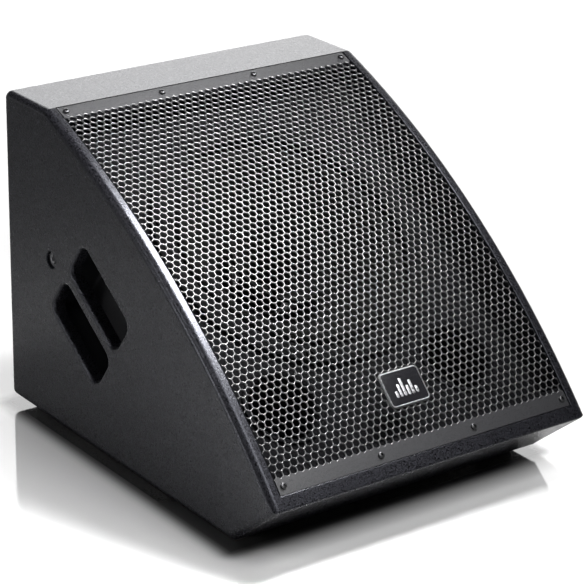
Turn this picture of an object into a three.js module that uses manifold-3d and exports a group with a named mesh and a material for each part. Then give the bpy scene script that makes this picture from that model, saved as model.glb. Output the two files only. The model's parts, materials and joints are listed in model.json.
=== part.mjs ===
// Powered stage monitor wedge with a ten inch coaxial driver.
// Units are millimetres, +Z is up and the grille faces -Y.
// The model's origin is the middle of its footprint, on the ground under the feet.
// Inside the file, y counts back from the front lip and z counts up from the cabinet's underside.

import * as THREE from 'three';
import { mergeVertices } from 'three/addons/utils/BufferGeometryUtils.js';
import Module from 'manifold-3d';

const wasm = await Module();
wasm.setup();

// ---------------------------------------------------------------- driving dimensions

const CABINET_WIDTH = 335;
const CABINET_DEPTH = 414.5;
const CABINET_HEIGHT = 293.5;
const FOOT_HEIGHT = 9;
const PANEL = 12;
const EDGE_ROUND = 6.8;
const EDGE_BEVEL = 6.2;
const LIP_ROUND = 2.5;
const GAP = 0.3;

// how far a cutting tool runs past the faces that it cuts
const OVERRUN = 5;

// side profile: the return under the lip, the bulging front and the short flat top
const LIP_Z = 49;
const RETURN_DEPTH = 59.5;
const TOP_DEPTH = 69.5;
const FRONT_BULGE = 26;

const HALF_WIDTH = CABINET_WIDTH / 2;
const INNER_HALF = HALF_WIDTH - PANEL;
const CROSS_HALF = INNER_HALF - GAP;

// ---------------------------------------------------------------- materials

function material(color, roughness, metalness = 0) {
  return new THREE.MeshStandardMaterial({ color, roughness, metalness });
}

const paint = material(0x2e2e31, 0.7);
const innerWood = material(0x1b1b1c, 0.9);
const grilleSteel = material(0x3a3a3d, 0.5, 0.6);
const blackScrew = material(0x1c1c1e, 0.35, 0.8);
const rubber = material(0x141414, 0.9);
const blackPlastic = material(0x19191b, 0.55);
const badgeFace = material(0x101012, 0.25);
const castMetal = material(0x3b3d40, 0.6, 0.7);
const plainSteel = material(0x8f9296, 0.4, 0.9);
const ferrite = material(0x2a2a2c, 0.8);
const paperCone = material(0x1d1d1e, 0.9);
const clothEdge = material(0x222222, 0.85);
const copper = material(0xa8673a, 0.4, 0.9);
const trayPaint = material(0x242426, 0.6);
const finMetal = material(0x1f2022, 0.5, 0.7);
const boardGreen = material(0x1d4a30, 0.6);
const knobGrey = material(0x2b2b2e, 0.5);
const ledGreen = material(0x3fae55, 0.3);
const wireRed = material(0x8e1f1f, 0.5);

// ---------------------------------------------------------------- solids

function toSolid(geometry) {
  const bare = new THREE.BufferGeometry();
  bare.setAttribute('position', geometry.getAttribute('position').clone());
  if (geometry.index) bare.setIndex(geometry.index.clone());
  const merged = mergeVertices(bare, 1e-4);
  const mesh = new wasm.Mesh({
    numProp: 3,
    vertProperties: new Float32Array(merged.getAttribute('position').array),
    triVerts: new Uint32Array(withoutSlivers(merged.index.array)),
  });
  return new wasm.Manifold(mesh);
}

// merging can fold a triangle onto an edge, so those triangles are dropped
function withoutSlivers(index) {
  const kept = [];
  for (let i = 0; i < index.length; i += 3) {
    const [a, b, c] = [index[i], index[i + 1], index[i + 2]];
    if (a !== b && b !== c && c !== a) kept.push(a, b, c);
  }
  return kept;
}

function toGeometry(solid) {
  const mesh = solid.getMesh();
  const geometry = new THREE.BufferGeometry();
  geometry.setAttribute('position', new THREE.BufferAttribute(new Float32Array(mesh.vertProperties), 3));
  geometry.setIndex([...mesh.triVerts]);
  geometry.computeVertexNormals();
  return geometry;
}

function cut(geometry, ...tools) {
  let solid = toSolid(geometry);
  for (const tool of tools) solid = solid.subtract(toSolid(tool));
  return toGeometry(solid);
}

function join(geometry, ...others) {
  let solid = toSolid(geometry);
  for (const other of others) solid = solid.add(toSolid(other));
  return toGeometry(solid);
}

function box(lowX, highX, lowY, highY, lowZ, highZ) {
  const geometry = new THREE.BoxGeometry(highX - lowX, highY - lowY, highZ - lowZ);
  return geometry.translate((lowX + highX) / 2, (lowY + highY) / 2, (lowZ + highZ) / 2);
}

// an outline drawn in (y, z) and drawn out along x
function alongX(shape, lowX, highX, curveSegments = 12) {
  const depth = highX - lowX;
  const geometry = new THREE.ExtrudeGeometry(shape, { depth, bevelEnabled: false, curveSegments });
  geometry.applyMatrix4(sidewaysBasis());
  return geometry.translate(lowX, 0, 0);
}

function sidewaysBasis() {
  const yAxis = new THREE.Vector3(0, 1, 0);
  const zAxis = new THREE.Vector3(0, 0, 1);
  const xAxis = new THREE.Vector3(1, 0, 0);
  return new THREE.Matrix4().makeBasis(yAxis, zAxis, xAxis);
}

// a ring or disc turned round z, from [radius, z] points listed with the solid on their left
function turned(points, segments = 24) {
  const profile = points.map(([radius, z]) => new THREE.Vector2(radius, z));
  const onAxis = points[0][0] === 0;
  if (!onAxis) profile.push(profile[0].clone());
  return new THREE.LatheGeometry(profile, segments).rotateX(Math.PI / 2);
}

// the same, with its axis along y and its points given as [radius, y]
function turnedAlongY(points, segments = 20) {
  return turned(points, segments).rotateX(-Math.PI / 2);
}

function rod(radius, lowZ, highZ, segments = 10) {
  return turned([[0, lowZ], [radius, lowZ], [radius, highZ], [0, highZ]], segments);
}

function roundedRectangle(width, height, corner) {
  const [w, h] = [width / 2, height / 2];
  const shape = new THREE.Shape();
  shape.moveTo(-w + corner, -h);
  shape.lineTo(w - corner, -h);
  shape.absarc(w - corner, -h + corner, corner, -Math.PI / 2, 0, false);
  shape.lineTo(w, h - corner);
  shape.absarc(w - corner, h - corner, corner, 0, Math.PI / 2, false);
  shape.lineTo(-w + corner, h);
  shape.absarc(-w + corner, h - corner, corner, Math.PI / 2, Math.PI, false);
  shape.lineTo(-w, -h + corner);
  shape.absarc(-w + corner, -h + corner, corner, Math.PI, Math.PI * 1.5, false);
  return shape;
}

function polygon(points) {
  return new THREE.Shape(points.map(([u, v]) => new THREE.Vector2(u, v)));
}

// ---------------------------------------------------------------- the assembly's groups

const wedge = new THREE.Group();
const cabinet = new THREE.Group();
cabinet.position.set(0, -CABINET_DEPTH / 2, FOOT_HEIGHT);
wedge.add(cabinet);

function place(name, geometry, look, parent = cabinet) {
  const mesh = new THREE.Mesh(geometry, look);
  mesh.name = name;
  parent.add(mesh);
  return mesh;
}

// ---------------------------------------------------------------- the front's arc

const lip = new THREE.Vector2(0, LIP_Z);
const topFront = new THREE.Vector2(CABINET_DEPTH - TOP_DEPTH, CABINET_HEIGHT);
const chord = topFront.clone().sub(lip);
const CHORD_LENGTH = chord.length();
const SLOPE = Math.atan2(chord.y, chord.x);
const inward = new THREE.Vector2(Math.sin(SLOPE), -Math.cos(SLOPE));
const chordMiddle = lip.clone().add(topFront).multiplyScalar(0.5);
const FRONT_RADIUS = (CHORD_LENGTH ** 2 / 4 + FRONT_BULGE ** 2) / (2 * FRONT_BULGE);
const arcCentre = chordMiddle.clone().addScaledVector(inward, FRONT_RADIUS - FRONT_BULGE);
const LIP_ANGLE = Math.atan2(lip.y - arcCentre.y, lip.x - arcCentre.x);
const TOP_ANGLE = Math.atan2(topFront.y - arcCentre.y, topFront.x - arcCentre.x);
const ARC_LENGTH = FRONT_RADIUS * (LIP_ANGLE - TOP_ANGLE);

// the arc's angle at a distance up the front from the lip
function frontAngle(distance) {
  return LIP_ANGLE - distance / FRONT_RADIUS;
}

function frontPoint(distance, below = 0) {
  const angle = frontAngle(distance);
  const radius = FRONT_RADIUS - below;
  return [arcCentre.x + radius * Math.cos(angle), arcCentre.y + radius * Math.sin(angle)];
}

// a strip that follows the front, between two distances up it and two depths below it
function frontStrip(from, to, above, below, steps) {
  const points = [];
  for (let i = 0; i <= steps; i += 1) points.push(frontPoint(from + (to - from) * i / steps, below));
  for (let i = steps; i >= 0; i -= 1) points.push(frontPoint(from + (to - from) * i / steps, above));
  return polygon(points);
}

// a group whose z axis stands out of the front at a distance up it
function frontGroup(x, distance, below) {
  const group = new THREE.Group();
  const [y, z] = frontPoint(distance, below);
  group.position.set(x, y, z);
  group.rotation.x = frontAngle(distance) - Math.PI / 2;
  cabinet.add(group);
  return group;
}

// ---------------------------------------------------------------- side panels

const SLOT_LENGTH = 88;
const SLOT_WIDTH = 40;
const SLOT_CORNER = 10;
const GRIP_WIDTH = 13;
const HANDLE_Y = 275.5;
const HANDLE_Z = 124.8;
const INSERT_Y = 338;
const INSERT_Z = 157;
const INSERT_HOLE_RADIUS = 7.7;
const FRONT_STEPS = 18;

function sideOutline() {
  const shape = new THREE.Shape();
  const back = CABINET_DEPTH - EDGE_ROUND;
  shape.moveTo(RETURN_DEPTH, 0);
  shape.lineTo(back, 0);
  shape.absarc(back, EDGE_ROUND, EDGE_ROUND, -Math.PI / 2, 0, false);
  shape.lineTo(CABINET_DEPTH, CABINET_HEIGHT - EDGE_ROUND);
  shape.absarc(back, CABINET_HEIGHT - EDGE_ROUND, EDGE_ROUND, 0, Math.PI / 2, false);
  shape.lineTo(topFront.x, topFront.y);
  for (let i = 1; i <= FRONT_STEPS; i += 1) {
    shape.lineTo(...frontPoint(ARC_LENGTH * (1 - i / FRONT_STEPS)));
  }
  return shape;
}

// a tool in the handle's own directions: u up the slope, v square to it
function handleTool(width, height, corner, v, lowX, highX) {
  const shape = roundedRectangle(width, height, corner);
  const geometry = alongX(shape, lowX, highX, 5);
  return geometry.translate(0, 0, v).rotateX(SLOPE).translate(0, HANDLE_Y, HANDLE_Z);
}

function acrossRod(radius, lowX, highX, y, z, segments = 20) {
  return rod(radius, lowX, highX, segments).rotateY(Math.PI / 2).translate(0, y, z);
}

// a slab with rounded edges on both faces is cut in half, so only the outer face stays rounded
function sidePanel(side) {
  const slab = new THREE.ExtrudeGeometry(sideOutline(), {
    depth: 2 * (PANEL - EDGE_BEVEL),
    bevelThickness: EDGE_BEVEL,
    bevelSize: EDGE_BEVEL,
    bevelOffset: -EDGE_BEVEL,
    bevelSegments: 3,
    curveSegments: 4,
  });
  slab.applyMatrix4(sidewaysBasis());
  slab.translate(side * INNER_HALF - (PANEL - EDGE_BEVEL), 0, 0);
  const reach = CABINET_DEPTH + OVERRUN;
  const inside = side < 0 ? [-INNER_HALF, 0] : [0, INNER_HALF];
  const innerBox = box(...inside, -OVERRUN, reach, -OVERRUN, reach);
  const [near, far] = [INNER_HALF - OVERRUN, HALF_WIDTH + OVERRUN];
  const through = side < 0 ? [-far, -near] : [near, far];
  const slotShift = (SLOT_WIDTH + GRIP_WIDTH) / 2;
  const slots = [-slotShift, slotShift].map((shift) => (
    handleTool(SLOT_LENGTH, SLOT_WIDTH, SLOT_CORNER, shift, ...through)
  ));
  const insertHole = acrossRod(INSERT_HOLE_RADIUS, ...through, INSERT_Y, INSERT_Z, 18);
  return cut(slab, innerBox, ...slots, insertHole);
}

// ---------------------------------------------------------------- cross panels

const LIP_FACE = 13.2;

function topPanel() {
  const shape = new THREE.Shape();
  const back = CABINET_DEPTH - EDGE_ROUND;
  const frontLean = PANEL * Math.tan(TOP_ANGLE - Math.PI / 2);
  shape.moveTo(topFront.x + GAP + frontLean, CABINET_HEIGHT - PANEL);
  shape.lineTo(CABINET_DEPTH, CABINET_HEIGHT - PANEL);
  shape.lineTo(CABINET_DEPTH, CABINET_HEIGHT - EDGE_ROUND);
  shape.absarc(back, CABINET_HEIGHT - EDGE_ROUND, EDGE_ROUND, 0, Math.PI / 2, false);
  shape.lineTo(topFront.x + GAP, CABINET_HEIGHT);
  return alongX(shape, -CROSS_HALF, CROSS_HALF, 4);
}

// the return slopes up and forward from the underside to the lip
const returnAlong = new THREE.Vector2(-RETURN_DEPTH, LIP_Z).normalize();
const returnInward = new THREE.Vector2(returnAlong.y, -returnAlong.x);

// where the return's inner face meets a line at a height
function returnInnerY(z) {
  return (returnInward.x * RETURN_DEPTH + PANEL - returnInward.y * z) / returnInward.x;
}

function bottomPanel() {
  const shape = new THREE.Shape();
  const back = CABINET_DEPTH - EDGE_ROUND;
  shape.moveTo(RETURN_DEPTH + GAP, 0);
  shape.lineTo(back, 0);
  shape.absarc(back, EDGE_ROUND, EDGE_ROUND, -Math.PI / 2, 0, false);
  shape.lineTo(CABINET_DEPTH, PANEL);
  shape.lineTo(returnInnerY(PANEL) + GAP, PANEL);
  const panel = alongX(shape, -CROSS_HALF, CROSS_HALF, 4);
  const holes = footPlaces().map(([x, y]) => (
    rod(FOOT_SCREW_RADIUS + SCREW_CLEARANCE, -OVERRUN, FOOT_SCREW_TIP + 1, 8).translate(x, y, 0)
  ));
  return cut(panel, ...holes);
}

// the return and the lip that the grille ends against, as one folded length
function lowerFrontPanel() {
  const lipInward = new THREE.Vector2(-Math.cos(LIP_ANGLE), -Math.sin(LIP_ANGLE));
  const corner = lip.clone().addScaledVector(lipInward, PANEL).addScaledVector(returnInward, PANEL);
  const roundStart = lip.clone().addScaledVector(returnAlong, -LIP_ROUND);
  const shape = polygon([
    [RETURN_DEPTH - GAP, returnOuterZ(RETURN_DEPTH - GAP)],
    [returnInnerY(PANEL) - GAP, PANEL],
    [corner.x, corner.y],
    frontPoint(LIP_FACE, PANEL),
    frontPoint(LIP_FACE),
    frontPoint(LIP_ROUND),
    frontPoint(LIP_ROUND * 0.35, LIP_ROUND * 0.1),
    [roundStart.x, roundStart.y],
  ]);
  return alongX(shape, -CROSS_HALF, CROSS_HALF);
}

function returnOuterZ(y) {
  return LIP_Z * (1 - y / RETURN_DEPTH);
}

// ---------------------------------------------------------------- grille, battens, screws, badge

const GRILLE_HALF = INNER_HALF - 0.9;
const GRILLE_RECESS = 0.4;
const GRILLE_THICKNESS = 1.5;
const GRILLE_BOTTOM = LIP_FACE + 0.4;
const GRILLE_TOP = ARC_LENGTH - 0.5;
const BATTEN_DEPTH = GRILLE_RECESS + GRILLE_THICKNESS + GAP;
const BATTEN_LENGTH = 18;
const SCREW_RADIUS = 1.5;
const SCREW_HEAD_RADIUS = 2.9;
const SCREW_LENGTH = 11;
const SCREW_CLEARANCE = 0.4;
const SCREW_FROM_SIDE = 5.6;
const SCREW_FROM_TOP = 6;
const SCREW_FROM_BOTTOM = 7;

// each screw as [x, distance up the front]
function grilleScrewPlaces() {
  const places = [];
  const outermost = GRILLE_HALF - SCREW_FROM_SIDE;
  for (const distance of [GRILLE_TOP - SCREW_FROM_TOP, GRILLE_BOTTOM + SCREW_FROM_BOTTOM]) {
    for (const step of [-1, -1 / 3, 1 / 3, 1]) places.push([outermost * step, distance]);
  }
  return places;
}

function grilleScrewHoles() {
  return grilleScrewPlaces().map(([x, distance]) => {
    const [y, z] = frontPoint(distance);
    const hole = rod(SCREW_RADIUS + SCREW_CLEARANCE, -SCREW_LENGTH - OVERRUN, OVERRUN, 8);
    return hole.rotateX(frontAngle(distance) - Math.PI / 2).translate(x, y, z);
  });
}

function grille() {
  const depth = [GRILLE_RECESS, GRILLE_RECESS + GRILLE_THICKNESS];
  const sheet = alongX(frontStrip(GRILLE_BOTTOM, GRILLE_TOP, ...depth, 24), -GRILLE_HALF, GRILLE_HALF);
  return cut(sheet, ...grilleScrewHoles());
}

function batten(from, to) {
  const strip = frontStrip(from, to, BATTEN_DEPTH, BATTEN_DEPTH + PANEL, 2);
  return cut(alongX(strip, -CROSS_HALF, CROSS_HALF), ...grilleScrewHoles());
}

function grilleScrew() {
  return turned([
    [0, -SCREW_LENGTH],
    [SCREW_RADIUS, -SCREW_LENGTH + 1.5],
    [SCREW_RADIUS, GAP],
    [SCREW_HEAD_RADIUS, GAP],
    [SCREW_HEAD_RADIUS, GAP + 0.9],
    [SCREW_HEAD_RADIUS * 0.6, GAP + 1.8],
    [0, GAP + 1.9],
  ], 10);
}

const BADGE_WIDTH = 42;
const BADGE_HEIGHT = 33;
const BADGE_CORNER = 4;
const BADGE_BEVEL = 0.5;
const BADGE_THICKNESS = 2.6;
const BADGE_DISTANCE = GRILLE_BOTTOM + 57;

function badge() {
  const [width, height] = [BADGE_WIDTH - 2 * BADGE_BEVEL, BADGE_HEIGHT - 2 * BADGE_BEVEL];
  const shape = roundedRectangle(width, height, BADGE_CORNER);
  const plate = new THREE.ExtrudeGeometry(shape, {
    depth: BADGE_THICKNESS - 2 * BADGE_BEVEL,
    bevelThickness: BADGE_BEVEL,
    bevelSize: BADGE_BEVEL,
    bevelSegments: 1,
    curveSegments: 4,
  });
  return plate.translate(0, 0, GAP + BADGE_BEVEL);
}

// ---------------------------------------------------------------- handle pockets, inserts, feet

const POCKET_WALL = 2.5;
const POCKET_DEPTH = 46;
const POCKET_CORNER = 6;
const POCKET_LENGTH = SLOT_LENGTH + 14;
const POCKET_HEIGHT = 2 * SLOT_WIDTH + GRIP_WIDTH + 6;
const POCKET_FLANGE = 5;

// a cup behind the slots, with a flange against the panel's inner face
function handlePocket(side) {
  const face = PANEL + GAP;

  // grown by an even width all round, between two depths from the panel's outer face
  function block(grow, from, to) {
    const ends = side < 0 ? [from - HALF_WIDTH, to - HALF_WIDTH] : [HALF_WIDTH - to, HALF_WIDTH - from];
    return handleTool(POCKET_LENGTH + 2 * grow, POCKET_HEIGHT + 2 * grow, POCKET_CORNER + grow, 0, ...ends);
  }

  const flange = block(POCKET_WALL + POCKET_FLANGE, face, face + POCKET_WALL);
  const cup = block(POCKET_WALL, face + POCKET_WALL / 2, POCKET_DEPTH + POCKET_WALL);
  const hollow = block(0, face - OVERRUN, POCKET_DEPTH);
  return cut(join(flange, cup), hollow);
}

const INSERT_RADIUS = 7.3;
const INSERT_BORE_RADIUS = 4.25;
const INSERT_SINK = 3;
const INSERT_FLANGE_RADIUS = 10.5;
const INSERT_FLANGE = 2;

// a threaded bush, sunk in its hole, with a flange on the panel's inner face
function bracketInsert(side) {
  const flangeAt = PANEL + GAP;
  const profile = [
    [INSERT_BORE_RADIUS, INSERT_SINK],
    [INSERT_RADIUS, INSERT_SINK],
    [INSERT_RADIUS, flangeAt],
    [INSERT_FLANGE_RADIUS, flangeAt],
    [INSERT_FLANGE_RADIUS, flangeAt + INSERT_FLANGE],
    [INSERT_BORE_RADIUS, flangeAt + INSERT_FLANGE],
  ];
  const bush = turned(profile, 18).translate(0, 0, -HALF_WIDTH).rotateY(Math.PI / 2);
  if (side > 0) bush.rotateZ(Math.PI);
  return bush.translate(0, INSERT_Y, INSERT_Z);
}

const FOOT_RADIUS = 16;
const FOOT_TAPER = 2;
const FOOT_WELL_RADIUS = 6;
const FOOT_SEAT = 4;
const FOOT_SCREW_RADIUS = 2.1;
const FOOT_SCREW_HEAD_RADIUS = 4.6;
const FOOT_SCREW_HEAD = 2.3;
const FOOT_SCREW_TIP = 9;
const FOOT_INSET_X = 29;
const FOOT_FRONT_Y = 86;
const FOOT_BACK_Y = CABINET_DEPTH - 27;

function footPlaces() {
  const x = HALF_WIDTH - FOOT_INSET_X;
  return [[-x, FOOT_FRONT_Y], [x, FOOT_FRONT_Y], [-x, FOOT_BACK_Y], [x, FOOT_BACK_Y]];
}

function foot() {
  const hole = FOOT_SCREW_RADIUS + 0.5;
  return turned([
    [FOOT_WELL_RADIUS, -FOOT_HEIGHT],
    [FOOT_RADIUS - FOOT_TAPER, -FOOT_HEIGHT],
    [FOOT_RADIUS, -GAP],
    [hole, -GAP],
    [hole, -FOOT_SEAT],
    [FOOT_WELL_RADIUS, -FOOT_SEAT],
  ], 18);
}

function footScrew() {
  const under = -FOOT_SEAT - GAP;
  const top = under - FOOT_SCREW_HEAD;
  return turned([
    [0, top],
    [FOOT_SCREW_HEAD_RADIUS - 1, top],
    [FOOT_SCREW_HEAD_RADIUS, top + 1],
    [FOOT_SCREW_HEAD_RADIUS, under],
    [FOOT_SCREW_RADIUS, under],
    [FOOT_SCREW_RADIUS, FOOT_SCREW_TIP - 1],
    [0, FOOT_SCREW_TIP],
  ], 10);
}

// ---------------------------------------------------------------- baffle and ports

const BAFFLE_SETBACK = 18.5;
const BAFFLE_TOP = 215;
const BAFFLE_BOTTOM = -190;
const DRIVER_UP = 36;
const DRIVER_HOLE_RADIUS = 117;
const PORT_X = 94;
const PORT_UP = -114;
const PORT_RADIUS = 30.5;
const PORT_WALL = 2.5;
const PORT_LIP = 4;
const PORT_LENGTH = 60;

// the baffle's own frame: x across, y up the slope, z out through the grille
const baffleGroup = new THREE.Group();
const baffleMiddle = chordMiddle.clone().addScaledVector(inward, BAFFLE_SETBACK);
baffleGroup.position.set(0, baffleMiddle.x, baffleMiddle.y);
baffleGroup.rotation.x = SLOPE;
cabinet.add(baffleGroup);

function baffle() {
  const across = CROSS_HALF;
  const board = polygon([
    [-across, BAFFLE_BOTTOM],
    [across, BAFFLE_BOTTOM],
    [across, BAFFLE_TOP],
    [-across, BAFFLE_TOP],
  ]);
  const driverHole = new THREE.Path().absarc(0, DRIVER_UP, DRIVER_HOLE_RADIUS, 0, Math.PI * 2, true);
  const portHole = PORT_RADIUS + PORT_WALL + GAP;
  const portHoles = [-1, 1].map((side) => (
    new THREE.Path().absarc(side * PORT_X, PORT_UP, portHole, 0, Math.PI * 2, true)
  ));
  board.holes.push(driverHole, ...portHoles);
  const slab = new THREE.ExtrudeGeometry(board, { depth: PANEL, bevelEnabled: false, curveSegments: 14 });
  return slab.translate(0, 0, -PANEL);
}

function portTube() {
  const outer = PORT_RADIUS + PORT_WALL;
  return turned([
    [PORT_RADIUS, -PORT_LENGTH],
    [outer, -PORT_LENGTH],
    [outer, GAP],
    [outer + PORT_LIP, GAP],
    [outer + PORT_LIP, GAP + 1],
    [outer, GAP + 2],
    [PORT_RADIUS + 2, GAP + 2],
    [PORT_RADIUS, -3],
  ], 22);
}

// ---------------------------------------------------------------- coaxial driver

// its own frame is the baffle's, moved to the hole's middle
const driver = new THREE.Group();
driver.position.set(0, DRIVER_UP, 0);
baffleGroup.add(driver);

const FLANGE_RADIUS = 129;
const LEDGE_Z = -5;
const BASKET_BACK = -79;
const WINDOW_HALF = 24;
const WINDOW_LOW = -53;
const WINDOW_HIGH = -25;
const PLATE_THICKNESS = 6;
const MAGNET_LENGTH = 18;
const BACK_PLATE = 8;
const MAGNET_RADIUS = 66;
const MAGNET_HOLE_RADIUS = 38;
const POLE_RADIUS = 30.4;
const THROAT_RADIUS = 15;
const COIL_INNER = 31.3;
const COIL_OUTER = 33.4;
const COIL_BACK = -98;
const COIL_FRONT = -61.5;
const CONE_NECK = 33.8;
const CONE_EDGE = 90;
const PLATE_FRONT = BASKET_BACK - GAP;
const MAGNET_FRONT = PLATE_FRONT - PLATE_THICKNESS - GAP;
const BACK_FRONT = MAGNET_FRONT - MAGNET_LENGTH - GAP;

function basket() {
  const frame = turned([
    [36, BASKET_BACK],
    [72, BASKET_BACK],
    [72, -60],
    [104.5, -20],
    [107, -8],
    [115.5, -8],
    [115.5, 1.8],
    [FLANGE_RADIUS, 1.8],
    [FLANGE_RADIUS, 6.8],
    [112, 6.8],
    [112, LEDGE_Z],
    [104, LEDGE_Z],
    [101, -20],
    [69, -59],
    [69, BASKET_BACK + 3],
    [36, BASKET_BACK + 3],
  ], 24);
  const reach = DRIVER_HOLE_RADIUS;
  const windows = [0.5, 1.5, 2.5].map((turn) => (
    box(-reach, reach, -WINDOW_HALF, WINDOW_HALF, WINDOW_LOW, WINDOW_HIGH).rotateZ(turn * Math.PI / 3)
  ));
  return cut(frame, ...windows);
}

// a flat ring between two radii and two heights
function flatRing(inner, outer, back, front) {
  return turned([[inner, back], [outer, back], [outer, front], [inner, front]], 24);
}

function gasket() {
  return flatRing(DRIVER_HOLE_RADIUS + 1, FLANGE_RADIUS, GAP, 1.5);
}

function topPlate() {
  return flatRing(COIL_OUTER + 1.1, MAGNET_RADIUS, PLATE_FRONT - PLATE_THICKNESS, PLATE_FRONT);
}

function magnet() {
  return flatRing(MAGNET_HOLE_RADIUS, MAGNET_RADIUS, MAGNET_FRONT - MAGNET_LENGTH, MAGNET_FRONT);
}

function polePiece() {
  const back = BACK_FRONT - BACK_PLATE;
  return turned([
    [THROAT_RADIUS, back],
    [MAGNET_RADIUS, back],
    [MAGNET_RADIUS, BACK_FRONT],
    [POLE_RADIUS, BACK_FRONT],
    [POLE_RADIUS, PLATE_FRONT],
    [THROAT_RADIUS, PLATE_FRONT],
  ], 24);
}

function voiceCoil() {
  return flatRing(COIL_INNER, COIL_OUTER, COIL_BACK, COIL_FRONT);
}

function cone() {
  return turned([
    [CONE_NECK, COIL_FRONT - 1.5],
    [62, -36],
    [CONE_EDGE, -7],
    [CONE_EDGE, -5.4],
    [62, -34],
    [CONE_NECK, COIL_FRONT + 0.5],
  ], 24);
}

const SURROUND_MIDDLE = 98;
const SURROUND_ROLL = 7.2;
const SURROUND_SHEET = 0.9;
const SURROUND_EDGE = 111.5;

// a half roll between the cone's edge and the basket's ledge
function surround() {
  const low = LEDGE_Z + GAP;
  const high = low + SURROUND_SHEET;
  const innerRoll = SURROUND_ROLL - SURROUND_SHEET;
  const over = [];
  const under = [];
  for (let i = 0; i <= 4; i += 1) {
    const [across, up] = [Math.cos(Math.PI * i / 4), Math.sin(Math.PI * i / 4)];
    over.push([SURROUND_MIDDLE + SURROUND_ROLL * across, high + SURROUND_ROLL * up]);
    under.push([SURROUND_MIDDLE - innerRoll * across, low + innerRoll * up]);
  }
  return turned([...under, [SURROUND_EDGE, low], [SURROUND_EDGE, high], ...over], 24);
}

const SPIDER_Z = -70;
const SPIDER_SHEET = 0.9;

// a corrugated disc between the coil and the basket
function spider() {
  const waves = [[34, 0], [41, 1.6], [48, -1.6], [55, 1.6], [62, -1.6], [68.4, 0]];
  const under = waves.map(([radius, rise]) => [radius, SPIDER_Z + rise]);
  const over = waves.map(([radius, rise]) => [radius, SPIDER_Z + rise + SPIDER_SHEET]).reverse();
  return turned([...under, ...over], 20);
}

function horn() {
  const base = PLATE_FRONT + GAP;
  return turned([
    [THROAT_RADIUS, base],
    [22, base],
    [22, -60],
    [27, -44],
    [38, -29],
    [48, -21.5],
    [48, -19],
    [46, -19],
    [36, -26],
    [24, -42],
    [17, -62],
  ], 20);
}

const COMPRESSION_RADIUS = 43;
const COMPRESSION_LENGTH = 34;

function compressionDriver() {
  const front = BACK_FRONT - BACK_PLATE - GAP;
  const back = front - COMPRESSION_LENGTH;
  const radius = COMPRESSION_RADIUS;
  return turned([[0, back], [radius - 9, back], [radius, back + 10], [radius, front], [0, front]], 20);
}

// ---------------------------------------------------------------- amplifier tray and its controls

const TRAY_DEPTH = 22;
const TRAY_SHEET = 2;
const TRAY_HALF_WIDTH = 100;
const TRAY_HALF_HEIGHT = 80;
const TRAY_RIM = 12;
const TRAY_CLEARANCE = 0.5;
const TRAY_Z = 150;
const TRAY_FLOOR_Y = CABINET_DEPTH - TRAY_DEPTH;
const BODY_DEPTH = 18;
const BODY_BACK_Y = TRAY_FLOOR_Y - TRAY_SHEET - BODY_DEPTH;

const socketX = { input: 74, link: 36 };
const SOCKET_Z = 200;
const SOCKET_RADIUS = 11.5;
const KNOB_Z = 152;
const knobX = { level: 84, bass: 60, treble: 36 };
const KNOB_SHAFT_RADIUS = 3;
const BUTTON_X = 13;
const BUTTON_RADIUS = 3.9;
const LED_Z = 178;
const LED_RADIUS = 2.4;
const FLANGE_THICKNESS = 2;
const FLANGE_FRONT_Y = TRAY_FLOOR_Y + GAP + FLANGE_THICKNESS;
const CAVITY_DEPTH = 15;
const inlet = { x: 66, z: 100, width: 27, height: 19.5 };
const powerSwitch = { x: 20, z: 100, width: 19, height: 28 };

function backPanel() {
  const frontY = CABINET_DEPTH - PANEL;
  const low = PANEL + GAP;
  const high = CABINET_HEIGHT - PANEL - GAP;
  const past = CABINET_DEPTH + OVERRUN;
  const board = box(-CROSS_HALF, CROSS_HALF, frontY, CABINET_DEPTH, low, high);
  const [halfX, halfZ] = [TRAY_HALF_WIDTH + TRAY_CLEARANCE, TRAY_HALF_HEIGHT + TRAY_CLEARANCE];
  const opening = box(-halfX, halfX, frontY - OVERRUN, past, TRAY_Z - halfZ, TRAY_Z + halfZ);
  const [rimX, rimZ] = [halfX + TRAY_RIM, halfZ + TRAY_RIM];
  const rebateY = CABINET_DEPTH - TRAY_SHEET - 2 * GAP;
  const rebate = box(-rimX, rimX, rebateY, past, TRAY_Z - rimZ, TRAY_Z + rimZ);
  return cut(board, opening, rebate);
}

function yRod(radius, x, z, segments = 16) {
  return turnedAlongY([
    [0, BODY_BACK_Y - OVERRUN],
    [radius, BODY_BACK_Y - OVERRUN],
    [radius, TRAY_FLOOR_Y + OVERRUN],
    [0, TRAY_FLOOR_Y + OVERRUN],
  ], segments).translate(x, 0, z);
}

function centredBox(item, grow, lowY, highY) {
  const [halfX, halfZ] = [item.width / 2 + grow, item.height / 2 + grow];
  return box(item.x - halfX, item.x + halfX, lowY, highY, item.z - halfZ, item.z + halfZ);
}

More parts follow.
